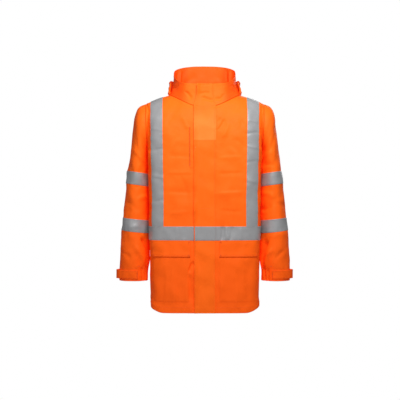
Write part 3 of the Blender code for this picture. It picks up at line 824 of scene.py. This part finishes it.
def shell(name, patches, look="cloth", slot="orange_cloth", ring=False, line=0.0, rim=RIM):
    """A closed thin wall over patches in a row, each with how far its two faces are lifted.

    Its second face is rounded down to its edges, as a quarter circle `rim` wide, and has a groove
    under the stitches, which run at `line` from its edges.
    """
    grids = []
    for skin, across, along, low, high in patches:
        u, v = np.meshgrid(across, along)
        grids.append((skin.at(u, v, low)[0], skin.at(u, v, high)[0]))
    inner, outer = (np.concatenate(layer) for layer in zip(*grids))
    thickness = outer - inner
    across, up = length_along(outer), length_along(outer.swapaxes(0, 1)).swapaxes(0, 1)
    edge = np.minimum(up, up[-1:] - up)
    if not ring:
        edge = np.minimum(edge, np.minimum(across, across[:, -1:] - across))
    full = np.sqrt(1 - (1 - np.clip((edge + EDGE_LEFT) / rim, 0, 1)) ** 2)
    if line:
        full -= GROOVE * np.exp(-(((edge - line) / GROOVE_HALF) ** 2))
    outer = inner + thickness * full[..., None]
    face = np.cross(outer[1:, 1:] - outer[:-1, :-1], outer[1:, :-1] - outer[:-1, 1:])
    if (face * thickness[1:, 1:]).sum() < 0:
        inner, outer = inner[:, ::-1], outer[:, ::-1]
    return walled(name, inner, outer, look, ring)


def walled(name, inner, outer, look, ring):
    """A closed wall between two grids, in quads, that stands for the solid of the same name."""
    rows, columns = outer.shape[:2]
    count = rows * columns
    number = np.arange(count).reshape(rows, columns)
    measured = outer
    if ring:
        measured, number = (np.concatenate([grid, grid[:, :1]], 1) for grid in (outer, number))
    across = length_along(measured)
    across = across - across.mean(axis=1, keepdims=True)
    up = length_along(measured[:, measured.shape[1] // 2])[:, None] + 0 * across
    flat = np.stack([across, up], -1)

    def quads(grid):
        corners = np.stack([grid[:-1, :-1], grid[:-1, 1:], grid[1:, 1:], grid[1:, :-1]], 2)
        return corners.reshape(-1, 4, *grid.shape[2:])

    faces = [quads(number)[:, ::-1], quads(number) + count]
    maps = [quads(flat)[:, ::-1], quads(flat)]
    rims = [(number[0], flat[0]), (number[-1, ::-1], flat[-1, ::-1])]
    if not ring:
        rims += [(number[::-1, 0], flat[::-1, 0]), (number[:, -1], flat[:, -1])]
    for rim, place in rims:
        faces.append(np.stack([rim[:-1], rim[1:], rim[1:] + count, rim[:-1] + count], 1))
        maps.append(np.stack([place[:-1], place[1:], place[1:], place[:-1]], 1))
    points = np.concatenate([inner.reshape(-1, 3), outer.reshape(-1, 3)])
    mesh = new_mesh(name + "_cloth", points, np.concatenate(faces), np.concatenate(maps))
    return placed(name + "_cloth", mesh, look, [name])


# ---------------------------------------------------------------- stitches
RUN_SLOTS = {
    "orange_thread": "orange_cloth",
    "silver_thread": "reflective_tape",
    "zip_teeth": "zip_tape",
}
RUNS = {kind: [] for kind in RUN_SLOTS}
PITCH, STITCH, THREAD_HALF = 0.0036, 0.0027, 0.00033


def stitch(
    kind, skin, across, along, lift, pitch=PITCH, length=STITCH, half=THREAD_HALF, sideways=False
):
    """Stitches at an even pitch on a line of a surface, through those values across and along."""
    across, along = np.broadcast_arrays(np.asarray(across, float), np.asarray(along, float))
    knots, dense = np.linspace(0, 1, across.size), np.linspace(0, 1, 1500)
    u, v = np.interp(dense, knots, across.ravel()), np.interp(dense, knots, along.ravel())
    points, normals = skin.at(u, v, lift)
    run = length_along(points)
    middles = np.arange(pitch / 2, run[-1], pitch)

    def taken(values, at):
        return np.stack([np.interp(at, run, values[:, i]) for i in range(3)], 1)

    out = taken(normals, middles)
    heading = unit(taken(points, middles + 0.0004) - taken(points, middles - 0.0004))
    beside = unit(np.cross(out, heading))
    if sideways:
        heading, beside = beside, -heading
    centres = taken(points, middles)
    RUNS[kind].append((centres, heading * length / 2, beside * half, out * half * 1.5))


def unit(vectors):
    """Those vectors with length 1."""
    return vectors / np.linalg.norm(vectors, axis=-1, keepdims=True)


def make_runs():
    """Every stitch or tooth as a small closed bump: four three-sided sections, its middle thick."""
    stations = np.array([-1.0, -0.55, 0.55, 1.0])[:, None, None]
    sizes = np.array([0.35, 1.0, 1.0, 0.35])[:, None]
    corners = np.array([(-1.0, -0.3), (0.0, 1.0), (1.0, -0.3)])
    grid = np.arange(12).reshape(4, 3)
    nexts = np.roll(grid, -1, axis=1)
    sides = np.stack([grid[:-1], grid[1:], nexts[1:], nexts[:-1]], 2).reshape(-1, 4)
    tris = np.concatenate([sides[:, [0, 1, 2]], sides[:, [0, 2, 3]], grid[:1], grid[-1:, ::-1]])
    for kind, rows in RUNS.items():
        joined = (np.concatenate(parts)[:, None, None] for parts in zip(*rows))
        centre, heading, beside, out = joined
        points = centre + heading * stations
        points = points + beside * (sizes * corners[:, 0])[..., None]
        points = points + out * (sizes * corners[:, 1])[..., None]
        faces = tris[None] + 12 * np.arange(len(centre))[:, None, None]
        mesh = new_mesh(kind, points.reshape(-1, 3), faces.reshape(-1, 3))
        placed(kind, mesh, kind)


# ---------------------------------------------------------------- finishes
class Wire:
    """A value in a material. Arithmetic on it adds Math nodes."""

    def __init__(self, finish, socket):
        self.finish, self.socket = finish, socket

    def output(self, number):
        """Another output of the same node."""
        return Wire(self.finish, self.socket.node.outputs[number])

    def math(self, operation, first, second=0.0):
        return self.finish.node("Math", {"operation": operation}, {0: first, 1: second})

    def sine(self):
        return self.math("SINE", self)

    def __add__(self, other):
        return self.math("ADD", self, other)

    def __sub__(self, other):
        return self.math("SUBTRACT", self, other)

    def __rsub__(self, other):
        return self.math("SUBTRACT", other, self)

    def __mul__(self, other):
        return self.math("MULTIPLY", self, other)

    __radd__, __rmul__ = __add__, __mul__


class Finish:
    """A material, from its constant values. `node` adds a node, and `feed` links or sets a socket."""

    def __init__(self, name, **constants):
        self.material = bpy.data.materials.new(name)
        self.material.use_nodes = True
        self.tree = self.material.node_tree
        self.shader = self.tree.nodes["Principled BSDF"]
        for socket, value in constants.items():
            self.shader.inputs[socket.replace("_", " ")].default_value = value

    def node(self, kind, settings, sockets, output=0):
        """A wire from a new node: its settings first, then the values or links of its sockets."""
        made = self.tree.nodes.new("ShaderNode" + kind)
        for name, value in settings.items():
            setattr(made, name, value)
        for key, value in sockets.items():
            self.feed(made.inputs[key], value)
        return Wire(self, made.outputs[output])

    def feed(self, socket, value):
        if isinstance(value, Wire):
            self.tree.links.new(value.socket, socket)
        else:
            socket.default_value = value

    def lumps(self, place, size, detail=2.0):
        """Noise from 0 to 1 with lumps about `size` metres across."""
        return self.node("TexNoise", {}, {"Vector": place, "Scale": 1 / size, "Detail": detail})

    def stretched(self, place, across, up, turn=0.0):
        """Places at which noise of size 1 makes lumps of that size across and up, turned."""
        rotation, scale = (0, 0, math.radians(turn)), (1 / across, 1 / up, 1)
        values = {"Vector": place, "Rotation": rotation, "Scale": scale}
        return self.node("Mapping", {"vector_type": "POINT"}, values)

    def ramp(self, value, start, end):
        """0 before `start` and 1 after `end`, in a straight line between them."""
        return self.node("MapRange", {}, {"Value": value, "From Min": start, "From Max": end})

    def blended(self, share, first, second):
        """A colour between two colours, each three numbers or a wire."""
        first, second = (c if isinstance(c, Wire) else (*c, 1) for c in (first, second))
        return self.node("Mix", {"data_type": "RGBA"}, {0: share, 6: first, 7: second}, output=2)

    def surface(self, colour, roughness, height):
        """Links the colour, the roughness, and a bump whose height is in metres."""
        normal = self.node("Bump", {}, {"Strength": 1.0, "Distance": 1.0, "Height": height})
        self.feed(self.shader.inputs["Base Color"], colour)
        self.feed(self.shader.inputs["Roughness"], roughness)
        self.feed(self.shader.inputs["Normal"], normal)
        return self.material


def woven(name, pitch, pale, deep, weave, field=None, tint=None, **constants):
    """Woven cloth on a piece's own flat places: threads, slubs, crumples and slow mottling.

    `field` gives the share, from 0 to 1, in which the cloth has another tint at a place: painted
    light or shade.
    """
    made = Finish(name, **constants)
    place = made.node("UVMap", {"uv_map": "cloth"}, {})
    across = made.node("SeparateXYZ", {}, {0: place})
    turns = math.pi / pitch
    threads = (across * turns).sine() * (across.output(1) * turns).sine()
    slubs = made.lumps(made.stretched(place, pitch * 1.2, pitch * 14), 1.0)
    picks = made.lumps(made.stretched(place, pitch * 14, pitch * 1.2), 1.0)
    crumples = made.lumps(place, 0.014, 3.0)
    dents = made.lumps(place, 0.034, 2.0)
    mottling = made.lumps(place, 0.060, 3.0)
    shade = mottling * 0.7 + slubs * 0.25 + picks * 0.25 + threads * 0.06 - 0.1
    height = threads * weave + (slubs + picks) * (weave * 0.8) + crumples * 0.00042 + dents * 0.0010
    colour = made.blended(shade, deep, pale)
    if field:
        place = made.node("SeparateXYZ", {}, {0: made.node("TexCoord", {}, {}, output=3)})
        colour = made.blended(field(made, place) * (mottling * 0.5 + 0.6), colour, tint)
    return made.surface(colour, 0.50 + mottling * 0.12 + slubs * 0.06, height)


FLAP_LINE = -0.176  # height of the stitched line across the storm flap


def flap_painted_highlight(made, place):
    """Painted highlight: the storm flap's field above its cross line, paler as a sheen, which fades
    out towards the collar.
    """
    up = place.output(2)
    return made.ramp(up, FLAP_LINE, FLAP_LINE + 0.003) * made.ramp(up, -0.050, -0.120)


def collar_painted_shade(made, place):
    """Painted shade: the collar's sides and back, darker where its cloth turns away from the front
    and the light.
    """
    sides = made.ramp(place.math("ABSOLUTE", place), 0.060, 0.092)
    return sides + made.ramp(place.output(1), 0.0, 0.06) * 0.6


def skirt_painted_shade(made, place):
    """Painted shade: the lower part of the body, tinted deeper and darker downwards, where less light
    falls.
    """
    return made.ramp(place.output(2), -0.30, -0.72) * 0.6


def reflective(name, **constants):
    """Reflective tape: a fine grain of beads, faint bands of its backing cloth, and soft dents."""
    made = Finish(name, **constants)
    place = made.node("UVMap", {"uv_map": "cloth"}, {})
    beads = made.lumps(place, 0.0007, 1.0)
    bands = made.lumps(made.stretched(place, 0.0016, 0.030), 1.0)
    scuffs = made.lumps(made.stretched(place, 0.030, 0.006, 12), 1.0, 3.0)
    dents = made.lumps(place, 0.018, 3.0)
    mottling = made.lumps(place, 0.045, 2.0)
    shade = beads * 0.35 + bands * 0.2 + scuffs * 0.25 + mottling * 0.5 - 0.15
    height = beads * 0.00006 + bands * 0.00003 + dents * 0.0007
    colour = made.blended(shade, (0.25, 0.25, 0.255), (0.33, 0.33, 0.335))
    return made.surface(colour, 0.36 + scuffs * 0.16, height)


def plain(name, colour, dull, roughness, size):
    """Thread or moulded plastic: one colour with slight mottling on the object's own places."""
    made = Finish(name)
    place = made.node("TexCoord", {}, {}, output=3)
    mottling = made.lumps(place, size, 2.0)
    shade = made.blended(mottling, dull, colour)
    return made.surface(shade, roughness + mottling * 0.1, mottling * 0.00005)


DYE_AND_PAINTED_GLOW = (1.0, 0.020, 0.002, 1)  # painted glow: a constant emission, partly the dye's fluorescence, partly red lifted into the shade
ORANGE = {
    "pitch": 0.0009,
    "pale": (0.95, 0.158, 0.0065),
    "deep": (0.93, 0.128, 0.0045),
    "weave": 0.00006,
    "Emission_Color": DYE_AND_PAINTED_GLOW,
    "Emission_Strength": 0.12,
    "Specular_IOR_Level": 0.12,
}
# Tints of painted light: shade on the skirt, a highlight (sheen) on the storm flap, shade on the
# collar.
SKIRT_SHADE_TINT, FLAP_HIGHLIGHT_TINT, SHADED = (0.96, 0.098, 0.0030), (0.95, 0.210, 0.028), (0.90, 0.088, 0.0035)
# Painted glow: the reflective tape gives off a little white light of its own, standing in for what
# its beads send back; it is also slightly metallic.
TAPE_PAINTED_GLOW = {"Emission_Color": (1, 1, 1.02, 1), "Emission_Strength": 0.03, "Metallic": 0.1}
LOOKS = {
    # The body's cloth carries painted shade on its lower part.
    "cloth": woven("fluorescent_orange_cloth", field=skirt_painted_shade, tint=SKIRT_SHADE_TINT, **ORANGE),
    # The storm flap's cloth carries a painted highlight, a pale sheen above its cross line.
    "flap": woven("flap_highlight_orange_cloth", field=flap_painted_highlight, tint=FLAP_HIGHLIGHT_TINT, **ORANGE),
    # The collar's cloth carries painted shade at its sides and back.
    "collar": woven("collar_shaded_orange_cloth", field=collar_painted_shade, tint=SHADED, **ORANGE),
    "tape": reflective("reflective_tape", **TAPE_PAINTED_GLOW),
    "zip": woven("zip_tape", 0.0007, (0.80, 0.12, 0.012), (0.70, 0.10, 0.010), 0.00008),
    "orange_thread": plain("orange_thread", (0.93, 0.15, 0.012), (0.80, 0.11, 0.010), 0.55, 0.004),
    "silver_thread": plain("silver_thread", (0.40, 0.40, 0.40), (0.30, 0.30, 0.31), 0.50, 0.004),
    "zip_teeth": plain("zip_teeth", (0.50, 0.055, 0.008), (0.38, 0.040, 0.006), 0.35, 0.010),
}


# ---------------------------------------------------------------- the pieces
ON_PANEL = CLOTH + GAP
ON_POCKET = ON_PANEL + CLOTH + GAP
ON_FLAP = ON_PANEL + DOUBLE + GAP
SIDES = ((LEFT, "left"), (RIGHT, "right"))
WAIST = (course(WAIST_TAPE[0]), course(WAIST_TAPE[1]))
TAPE_LINE = 0.0034  # from a tape's edge to its stitches


def turn_of(share):
    """Degrees round the neck at which a lane of the front meets the collar."""
    lateral = read(LANE_TOPS, "lateral", np.abs(share))
    return np.sign(share) * np.degrees(np.arcsin((lateral / NECK_HALF) ** (NECK_POWER / 2)))


def on_side(side, low, high, v=0.7):
    """Shares across a patch on the wearer's left or right."""
    across = across_run(SKINS[FRONT], low, high, v)
    return across if side == LEFT else -across[::-1]


def up_body(face, low, high, edges=(True, True)):
    """Values up a body panel, even in distance at the middle of its half."""
    return along_run(SKINS[face], 0.5, climb_run(low, high), edges)


def round_sleeve(skin):
    """Degrees round a sleeve, even in distance on its upper half. The last meets the first."""
    return across_run(skin, 0, 360, 6, (False, False))[:-1]


def tape(name, patches, **how):
    """A shell of reflective tape, with a groove under its stitches."""
    shell(name, patches, "tape", "reflective_tape", line=TAPE_LINE, **how)


def make_fronts():
    rows = up_body(FRONT, 0, 2)
    for side, name in SIDES:
        shell(f"front_{name}", [(SKINS[FRONT], on_side(side, ZIP_EDGE, 1), rows, 0, CLOTH)])


def make_back():
    across = across_run(SKINS[BACK], -1, 1, 0.7)
    shell("back", [(SKINS[BACK], across, up_body(BACK, 0, 2), 0, CLOTH)])


def strap_lift(rise):
    """The cuff strap stands off the sleeve at its loose end, by a bump over the outer edge."""

    def lift(s, h):
        turn = 180 - s / FLAT_HALF_SLEEVE * 180
        return rise + STRAP_LIFT * np.exp(-(((turn - 180) / STRAP_LIFT_SPREAD) ** 2))

    return lift


def make_sleeves():
    """Each sleeve as a tube, its two tapes round it, and the strap at its cuff."""
    for _, name in SIDES:
        skin = SKINS["sleeve_" + name]
        turns = round_sleeve(skin)
        rings = along_run(skin, 180, np.linspace(0, len(SLEEVE["out_x"]) - 1, 900))
        shell(f"sleeve_{name}", [(skin, turns, rings, 0, CLOTH)], ring=True)
        for band, where in ((UPPER_BAND, "upper"), (LOWER_BAND, "lower")):
            rings = along_run(skin, 180, np.linspace(*band, 200))
            patch = (skin, turns, rings, ON_PANEL, ON_PANEL + TAPE)
            tape(f"sleeve_tape_{where}_{name}", [patch], ring=True)
        across = across_run(skin, *STRAP_TURN, 14.5)
        rings = along_run(skin, 180, np.linspace(*STRAP, 100), spacing=0.003)
        patch = (skin, across, rings, strap_lift(ON_PANEL), strap_lift(ON_PANEL + DOUBLE))
        shell(f"cuff_strap_{name}", [patch], line=TAPE_LINE)


def make_collar():
    """The collar's outer and inner cloth. The inner one's second face looks inwards."""
    skin = SKINS["collar"]
    start = float(turn_of(ZIP_EDGE))
    turns = across_run(skin, start, 360 - start, 0.5)
    rows = along_run(skin, 180, np.linspace(0, 1, 400))
    shell("collar_outer", [(skin, turns, rows, 0, CLOTH)], "collar", line=STITCH_IN)
    shell("collar_inner", [(skin, turns, rows, -GAP, -GAP - CLOTH)], "collar", line=STITCH_IN)


FLAP_RISE, FLAP_RISE_REACH = 0.0058, 0.0110  # how far the flap's free edge stands up, and its width


def flap_lift(rise, edge, seed=47):
    """The flap stands up a little along its free edge, more in some places than in others."""

    def lift(s, h):
        curl = FLAP_RISE * (1 + 0.6 * np.sin(h * 41 + 1.1) * np.sin(h * 17.3 + seed))
        return rise + curl * np.exp(-(((s - edge) / FLAP_RISE_REACH) ** 2))

    return lift


def make_closure():
    """The storm flap in one strip up the front and the collar, and the zip's tape behind it."""
    front, above = SKINS[FRONT], SKINS["collar"]
    across = across_run(front, -FLAP_EDGE, FLAP_EDGE, 0.7)
    turns = turn_of(across)
    rows = along_run(front, 0.0, climb_run(0, 2), (True, False))
    high_rows = along_run(above, 0.0, np.linspace(0, 1, 300), (False, True))
    patches = []
    for skin, run, up, edge in (
        (front, across, rows, FLAP_FREE),
        (above, turns, high_rows, turns[0] / 180 * FLAT_HALF_COLLAR),
    ):
        low, high = flap_lift(ON_PANEL, edge), flap_lift(ON_PANEL + DOUBLE, edge)
        patches.append((skin, run, up, low, high))
    shell("storm_flap", patches, "flap", line=STITCH_IN)
    behind = [
        (front, across, rows, -GAP - CLOTH, -GAP),
        (above, turns, high_rows, -2 * GAP - 2 * CLOTH, -2 * GAP - CLOTH),
    ]
    shell("front_zip", behind, "zip", "zip_tape")
    teeth = {"pitch": 0.0026, "length": 0.0030, "half": 0.00085, "sideways": True}
    for edge, later in ((-0.0012, 0), (0.0012, 0.00065)):
        first = course(HEM + 0.004 + later)
        stitch("zip_teeth", front, edge / FLAT_HALF_GIRTH, [first, *rows[3:]], -GAP, **teeth)


def make_pockets():
    """A patch pocket and its flap on each front, and the chest pocket's welt on the right."""
    skin = SKINS[FRONT]
    for side, name in SIDES:
        across = on_side(side, WELT_EDGE, TAPE_OUT, WAIST[0])
        rows = along_run(skin, 0.4, np.linspace(course(POCKET_FOOT), WAIST[0], 400))
        patch = (skin, across, rows, ON_PANEL, ON_PANEL + CLOTH)
        shell(f"pocket_{name}", [patch], rim=0.022)
        rows = along_run(skin, 0.4, np.linspace(course(POCKET_FLAP_FOOT), WAIST[0], 200))
        patch = (skin, across, rows, foot_lift(ON_POCKET), foot_lift(ON_POCKET + DOUBLE))
        shell(f"pocket_flap_{name}", [patch], line=STITCH_IN)
    rows = along_run(skin, 0.165, climb_run(course(WELT_FOOT), WELT_TOP))
    across = on_side(RIGHT, FLAP_EDGE, WELT_EDGE, 1)
    shell("chest_welt", [(skin, across, rows, ON_PANEL, ON_PANEL + CLOTH)], line=TAPE_LINE)


FOOT_LIFT, FOOT_REACH = 0.0016, 0.012  # how far a pocket flap's foot stands off, and up to where


def foot_lift(rise):
    """A pocket's flap stands off a little at its foot."""
    return lambda s, h: rise + FOOT_LIFT * np.exp(-(((h - POCKET_FLAP_FOOT) / FOOT_REACH) ** 2))


def make_tapes():
    """The braces from the waist over the shoulders, and the band round the waist in its pieces."""
    front, back = SKINS[FRONT], SKINS[BACK]
    low, high = ON_PANEL, ON_PANEL + TAPE
    up = up_body(FRONT, WAIST[1], 2, (True, False))
    down = up_body(BACK, WAIST[1], 2, (True, False))[-2::-1]
    band = along_run(front, 0.5, np.linspace(*WAIST, 200))
    for side, name in SIDES:
        across = on_side(side, TAPE_IN, TAPE_OUT)
        strip = [(front, across, up, low, high), (back, across, down, low, high)]
        tape(f"brace_tape_{name}", strip)
        patch = (front, on_side(side, FLAP_EDGE, 1, WAIST[0]), band, low, high)
        tape(f"waist_tape_{name}", [patch])
    patch = (back, across_run(back, -1, 1, WAIST[0]), band, low, high)
    tape("waist_tape_back", [patch])
    across = across_run(front, 0.009 - FLAP_EDGE, FLAP_EDGE, WAIST[0])
    low, high = flap_lift(ON_FLAP, FLAP_FREE), flap_lift(ON_FLAP + TAPE, FLAP_FREE)
    tape("waist_tape_flap", [(front, across, band, low, high)])


def make_hood():
    skin = SKINS["hood"]
    turns = across_run(skin, HOOD["turn"][0], 360 - HOOD["turn"][0], 0.5, spacing=0.005)
    rows = along_run(skin, 180, np.linspace(0, 1, 900), spacing=0.005)
    shell("hood", [(skin, turns, rows, 0, CLOTH)])


TACK_PITCH, TACK_REACH = 0.0008, 0.006  # of a bar tack's threads, and a pocket tack's half length
POCKET_IN = 0.018  # share from a pocket's upright edges to their stitches
SLEEVE_LINES = (0.30, 13.95, 13.75, 15.75)  # rings with stitches, by the armhole and the cuff
PLEAT_TURN, PLEAT_RING = (62, 74), 13.55  # where the bar tack is at which the cuff's pleat ends
STRAP_IN = 0.09  # rings from the strap's long edges to their stitches
SIDE_LINE, LINE_END = 0.982, 0.99  # shares at which the side's stitches run and lines across end
HEM_LINE = HEM + 0.022
FLAP_LOW_LINE = -0.435  # height of the lower line across the storm flap


def sew(skin, across, along, lift=CLOTH):
    """A line of stitches in orange thread."""
    stitch("orange_thread", skin, across, along, lift)


def sew_tape(skin, across, along, lift=ON_PANEL + TAPE):
    """A line of stitches in the tapes' silver thread."""
    stitch("silver_thread", skin, across, along, lift)


def bar_tack(skin, across, along, lift, length):
    """Long stitches beside each other along a short line."""
    stitch("orange_thread", skin, across, along, lift, TACK_PITCH, length, sideways=True)


def stitch_pocket(side):
    """A pocket's upright edges, the flap's over them with a bar tack at each end, and its foot."""
    front, lift, margin = SKINS[FRONT], foot_lift(ON_POCKET + DOUBLE), inset_up(STITCH_IN)
    low, flap_low = course(POCKET_FOOT) + margin, course(POCKET_FLAP_FOOT) + margin
    inner, outer = side * (WELT_EDGE + POCKET_IN), side * (TAPE_OUT - POCKET_IN)
    top = WAIST[0] - margin
    for edge in (inner, outer):
        sew(front, edge, [low, top], ON_PANEL + 0.0004)
        sew(front, edge, [flap_low, top], lift)
        for height in (flap_low, top):
            bar_tack(front, edge, [height - TACK_REACH, height + TACK_REACH], lift, 0.0032)
    sew(front, np.linspace(inner, outer, 30), flap_low, lift)


def stitch_sleeve(skin):
    """Lines round a sleeve, at its tapes' edges, and on the cuff and its strap."""
    around = np.linspace(0, 360, 60)
    for ring in SLEEVE_LINES:
        sew(skin, around, ring)
    for top, foot in (UPPER_BAND, LOWER_BAND):
        inset = TAPE_LINE / (ring_height(top) - ring_height(foot))
        for ring in (top + inset, foot - inset):
            sew_tape(skin, around, ring)
    (start, end), (top, foot), lift = STRAP_TURN, STRAP, strap_lift(ON_PANEL + DOUBLE)
    for ring in (top + STRAP_IN, foot - STRAP_IN):
        sew(skin, np.linspace(start + 3, end - 3, 40), ring, lift)
    for turn in (start + 4, end - 4):
        bar_tack(skin, turn, [top + 0.2, foot - 0.2], lift, 0.0030)
    bar_tack(skin, np.linspace(*PLEAT_TURN, 5), PLEAT_RING, CLOTH, 0.0040)


def stitch_flap():
    """The storm flap's two upright lines, on the front and the collar, and its two cross lines."""
    front, above, rise = SKINS[FRONT], SKINS["collar"], ON_PANEL + DOUBLE
    lift = flap_lift(rise, FLAP_FREE)
    inner = FLAP_EDGE * (1 - STITCH_IN / (FLAP_EDGE * FLAT_HALF_GIRTH))
    for edge in (-inner, inner):
        for low, high in ((0.01, WAIST[0] - 0.002), (WAIST[1] + 0.002, 2)):
            sew(front, edge, np.linspace(low, high, 60), lift)
        sew(above, turn_of(np.array(edge)), np.linspace(0, 0.92, 12), flap_lift(rise, -0.0315))
    sew(front, np.linspace(-0.03, inner, 8), at_height(front, 0.05, FLAP_LINE), lift)
    sew(front, np.linspace(-0.10, 0.09, 12), course(FLAP_LOW_LINE), lift)


def make_stitches():
    """Seams and topstitching, each line a few millimetres in from the edge that it holds."""
    front, back, above, hood = SKINS[FRONT], SKINS[BACK], SKINS["collar"], SKINS["hood"]
    inset = TAPE_LINE / 0.050 * (TAPE_OUT - TAPE_IN)
    tape_lines = (WAIST[0] + inset_up(TAPE_LINE), WAIST[1] - inset_up(TAPE_LINE))
    for side, name in SIDES:
        for edge in (side * (TAPE_IN + inset), side * (TAPE_OUT - inset)):
            for skin in (front, back):
                sew_tape(skin, edge, np.linspace(WAIST[1], 2, 60))
        stitch_pocket(side)
        stitch_sleeve(SKINS["sleeve_" + name])
        sew(front, side * SIDE_LINE, np.linspace(0.01, 1, 20))
        sew(front, side * np.linspace(ZIP_EDGE, LINE_END, 30), course(HEM_LINE))
        for height in tape_lines:
            sew_tape(front, side * np.linspace(FLAP_EDGE + 0.01, LINE_END, 30), height)
    whole = np.linspace(-LINE_END, LINE_END, 60)
    for height in tape_lines:
        sew_tape(back, whole, height)
        lift = flap_lift(ON_FLAP + TAPE, FLAP_FREE)
        sew_tape(front, np.linspace(-0.128, 0.128, 12), height, lift)
    sew(back, whole, course(HEM_LINE))
    stitch_flap()
    # collar: above its seam, and along its top edge on both of its cloths
    turns = np.linspace(17, 343, 120)
    for height, lift in ((0.10, CLOTH), (0.90, CLOTH), (0.92, -GAP - CLOTH)):
        sew(above, turns, height, lift)
    # welt of the chest pocket, and the teeth of its zip beside it
    run = np.linspace(course(WELT_FOOT) + 0.01, WELT_TOP - 0.02, 30)
    sew(front, -WELT_EDGE + 0.012, run, ON_PANEL + CLOTH)
    teeth = {"pitch": 0.0015, "length": 0.0024, "half": 0.0006, "sideways": True}
    stitch("zip_teeth", front, -WELT_EDGE - 0.0035, run, CLOTH, **teeth)
    # hood: its two long seams and the face edge
    seam = HOOD_SEAM / FLAT_HALF_HOOD * (180 - HOOD["turn"][0])
    for turn in (180 - seam, 180 + seam):
        for beside in (-0.9, 0.9):
            sew(hood, turn + beside, np.linspace(0.02, 0.97, 60))
    sew(hood, np.linspace(74, 286, 120), 0.945)


def at_height(skin, u, height):
    """Value up a body panel at which its middle is at a height."""
    along = climb_run(0, 2)
    return float(np.interp(height, skin.surface(np.full_like(along, u), along)[:, 2], along))


def inset_up(distance):
    """How far up the body a distance is, in shares of its height."""
    return distance / (CHEST - HEM)


# ---------------------------------------------------------------- floor, light and camera
def make_floor():
    """A pale floor below the jacket."""
    turn = np.linspace(0, 2 * math.pi, 97)[:-1]
    x, y = FLOOR_REACH * np.cos(turn), FLOOR_REACH * np.sin(turn)
    points = np.stack([x, y, np.full_like(turn, FLOOR)], 1)
    mesh = new_mesh("floor", points, np.arange(96)[None])
    pale = Finish("pale_floor", Roughness=0.9, Specular_IOR_Level=0.1)
    pale.shader.inputs["Base Color"].default_value = (0.80, 0.80, 0.80, 1)
    mesh.materials.append(pale.material)
    floor = bpy.data.objects.new("floor", mesh)
    bpy.context.scene.collection.objects.link(floor)


FLOOR, FLOOR_REACH = -1.45, 1.1


def softbox(name, place, aim, size, watts):
    """A square lamp that faces a point."""
    lamp = bpy.data.lights.new(name, "AREA")
    lamp.size, lamp.energy = size, watts
    lit = bpy.data.objects.new(name, lamp)
    away = Vector(place) - Vector(aim)
    lit.location, lit.rotation_euler = place, away.to_track_quat("Z", "Y").to_euler()
    lit.visible_camera = False
    bpy.context.scene.collection.objects.link(lit)


def make_light():
    """A white room with a large lamp above the front, and a weaker one low on the other side."""
    world = bpy.data.worlds.new("studio")
    bpy.context.scene.world = world
    world.use_nodes = True
    nodes, links = world.node_tree.nodes, world.node_tree.links
    seen = nodes.new("ShaderNodeLightPath")
    mix = nodes.new("ShaderNodeMix")
    mix.inputs[2].default_value, mix.inputs[3].default_value = AMBIENT, 1.0
    links.new(seen.outputs["Is Camera Ray"], mix.inputs[0])
    links.new(mix.outputs[0], nodes["Background"].inputs["Strength"])
    nodes["Background"].inputs["Color"].default_value = (1, 1, 1, 1)
    softbox("key", (0.20, -1.30, 0.80), (0, 0, -0.15), 0.7, KEY)
    softbox("fill", (-1.7, -2.2, 0.2), (0, 0, -0.4), 1.8, FILL)
    softbox("rear", (1.0, 2.8, 0.7), (0, 0, -0.3), 1.6, REAR)


AMBIENT, KEY, FILL, REAR = 0.20, 33, 8.5, 26


def make_camera():
    lens = bpy.data.cameras.new("camera")
    lens.lens, lens.sensor_width = 79.74, 36.0
    lens.clip_start, lens.clip_end = 0.05, 50.0
    camera = bpy.data.objects.new("camera", lens)
    camera.location, camera.rotation_euler = (-0.0186, -3.5, -0.403), (math.pi / 2, 0, 0)
    bpy.context.scene.collection.objects.link(camera)
    bpy.context.scene.camera = camera
    bpy.context.scene.view_settings.view_transform = "Standard"


def main():
    make_fronts()
    make_back()
    make_sleeves()
    make_collar()
    make_closure()
    make_pockets()
    make_tapes()
    make_hood()
    make_stitches()
    make_runs()
    make_floor()
    make_light()
    make_camera()


main()
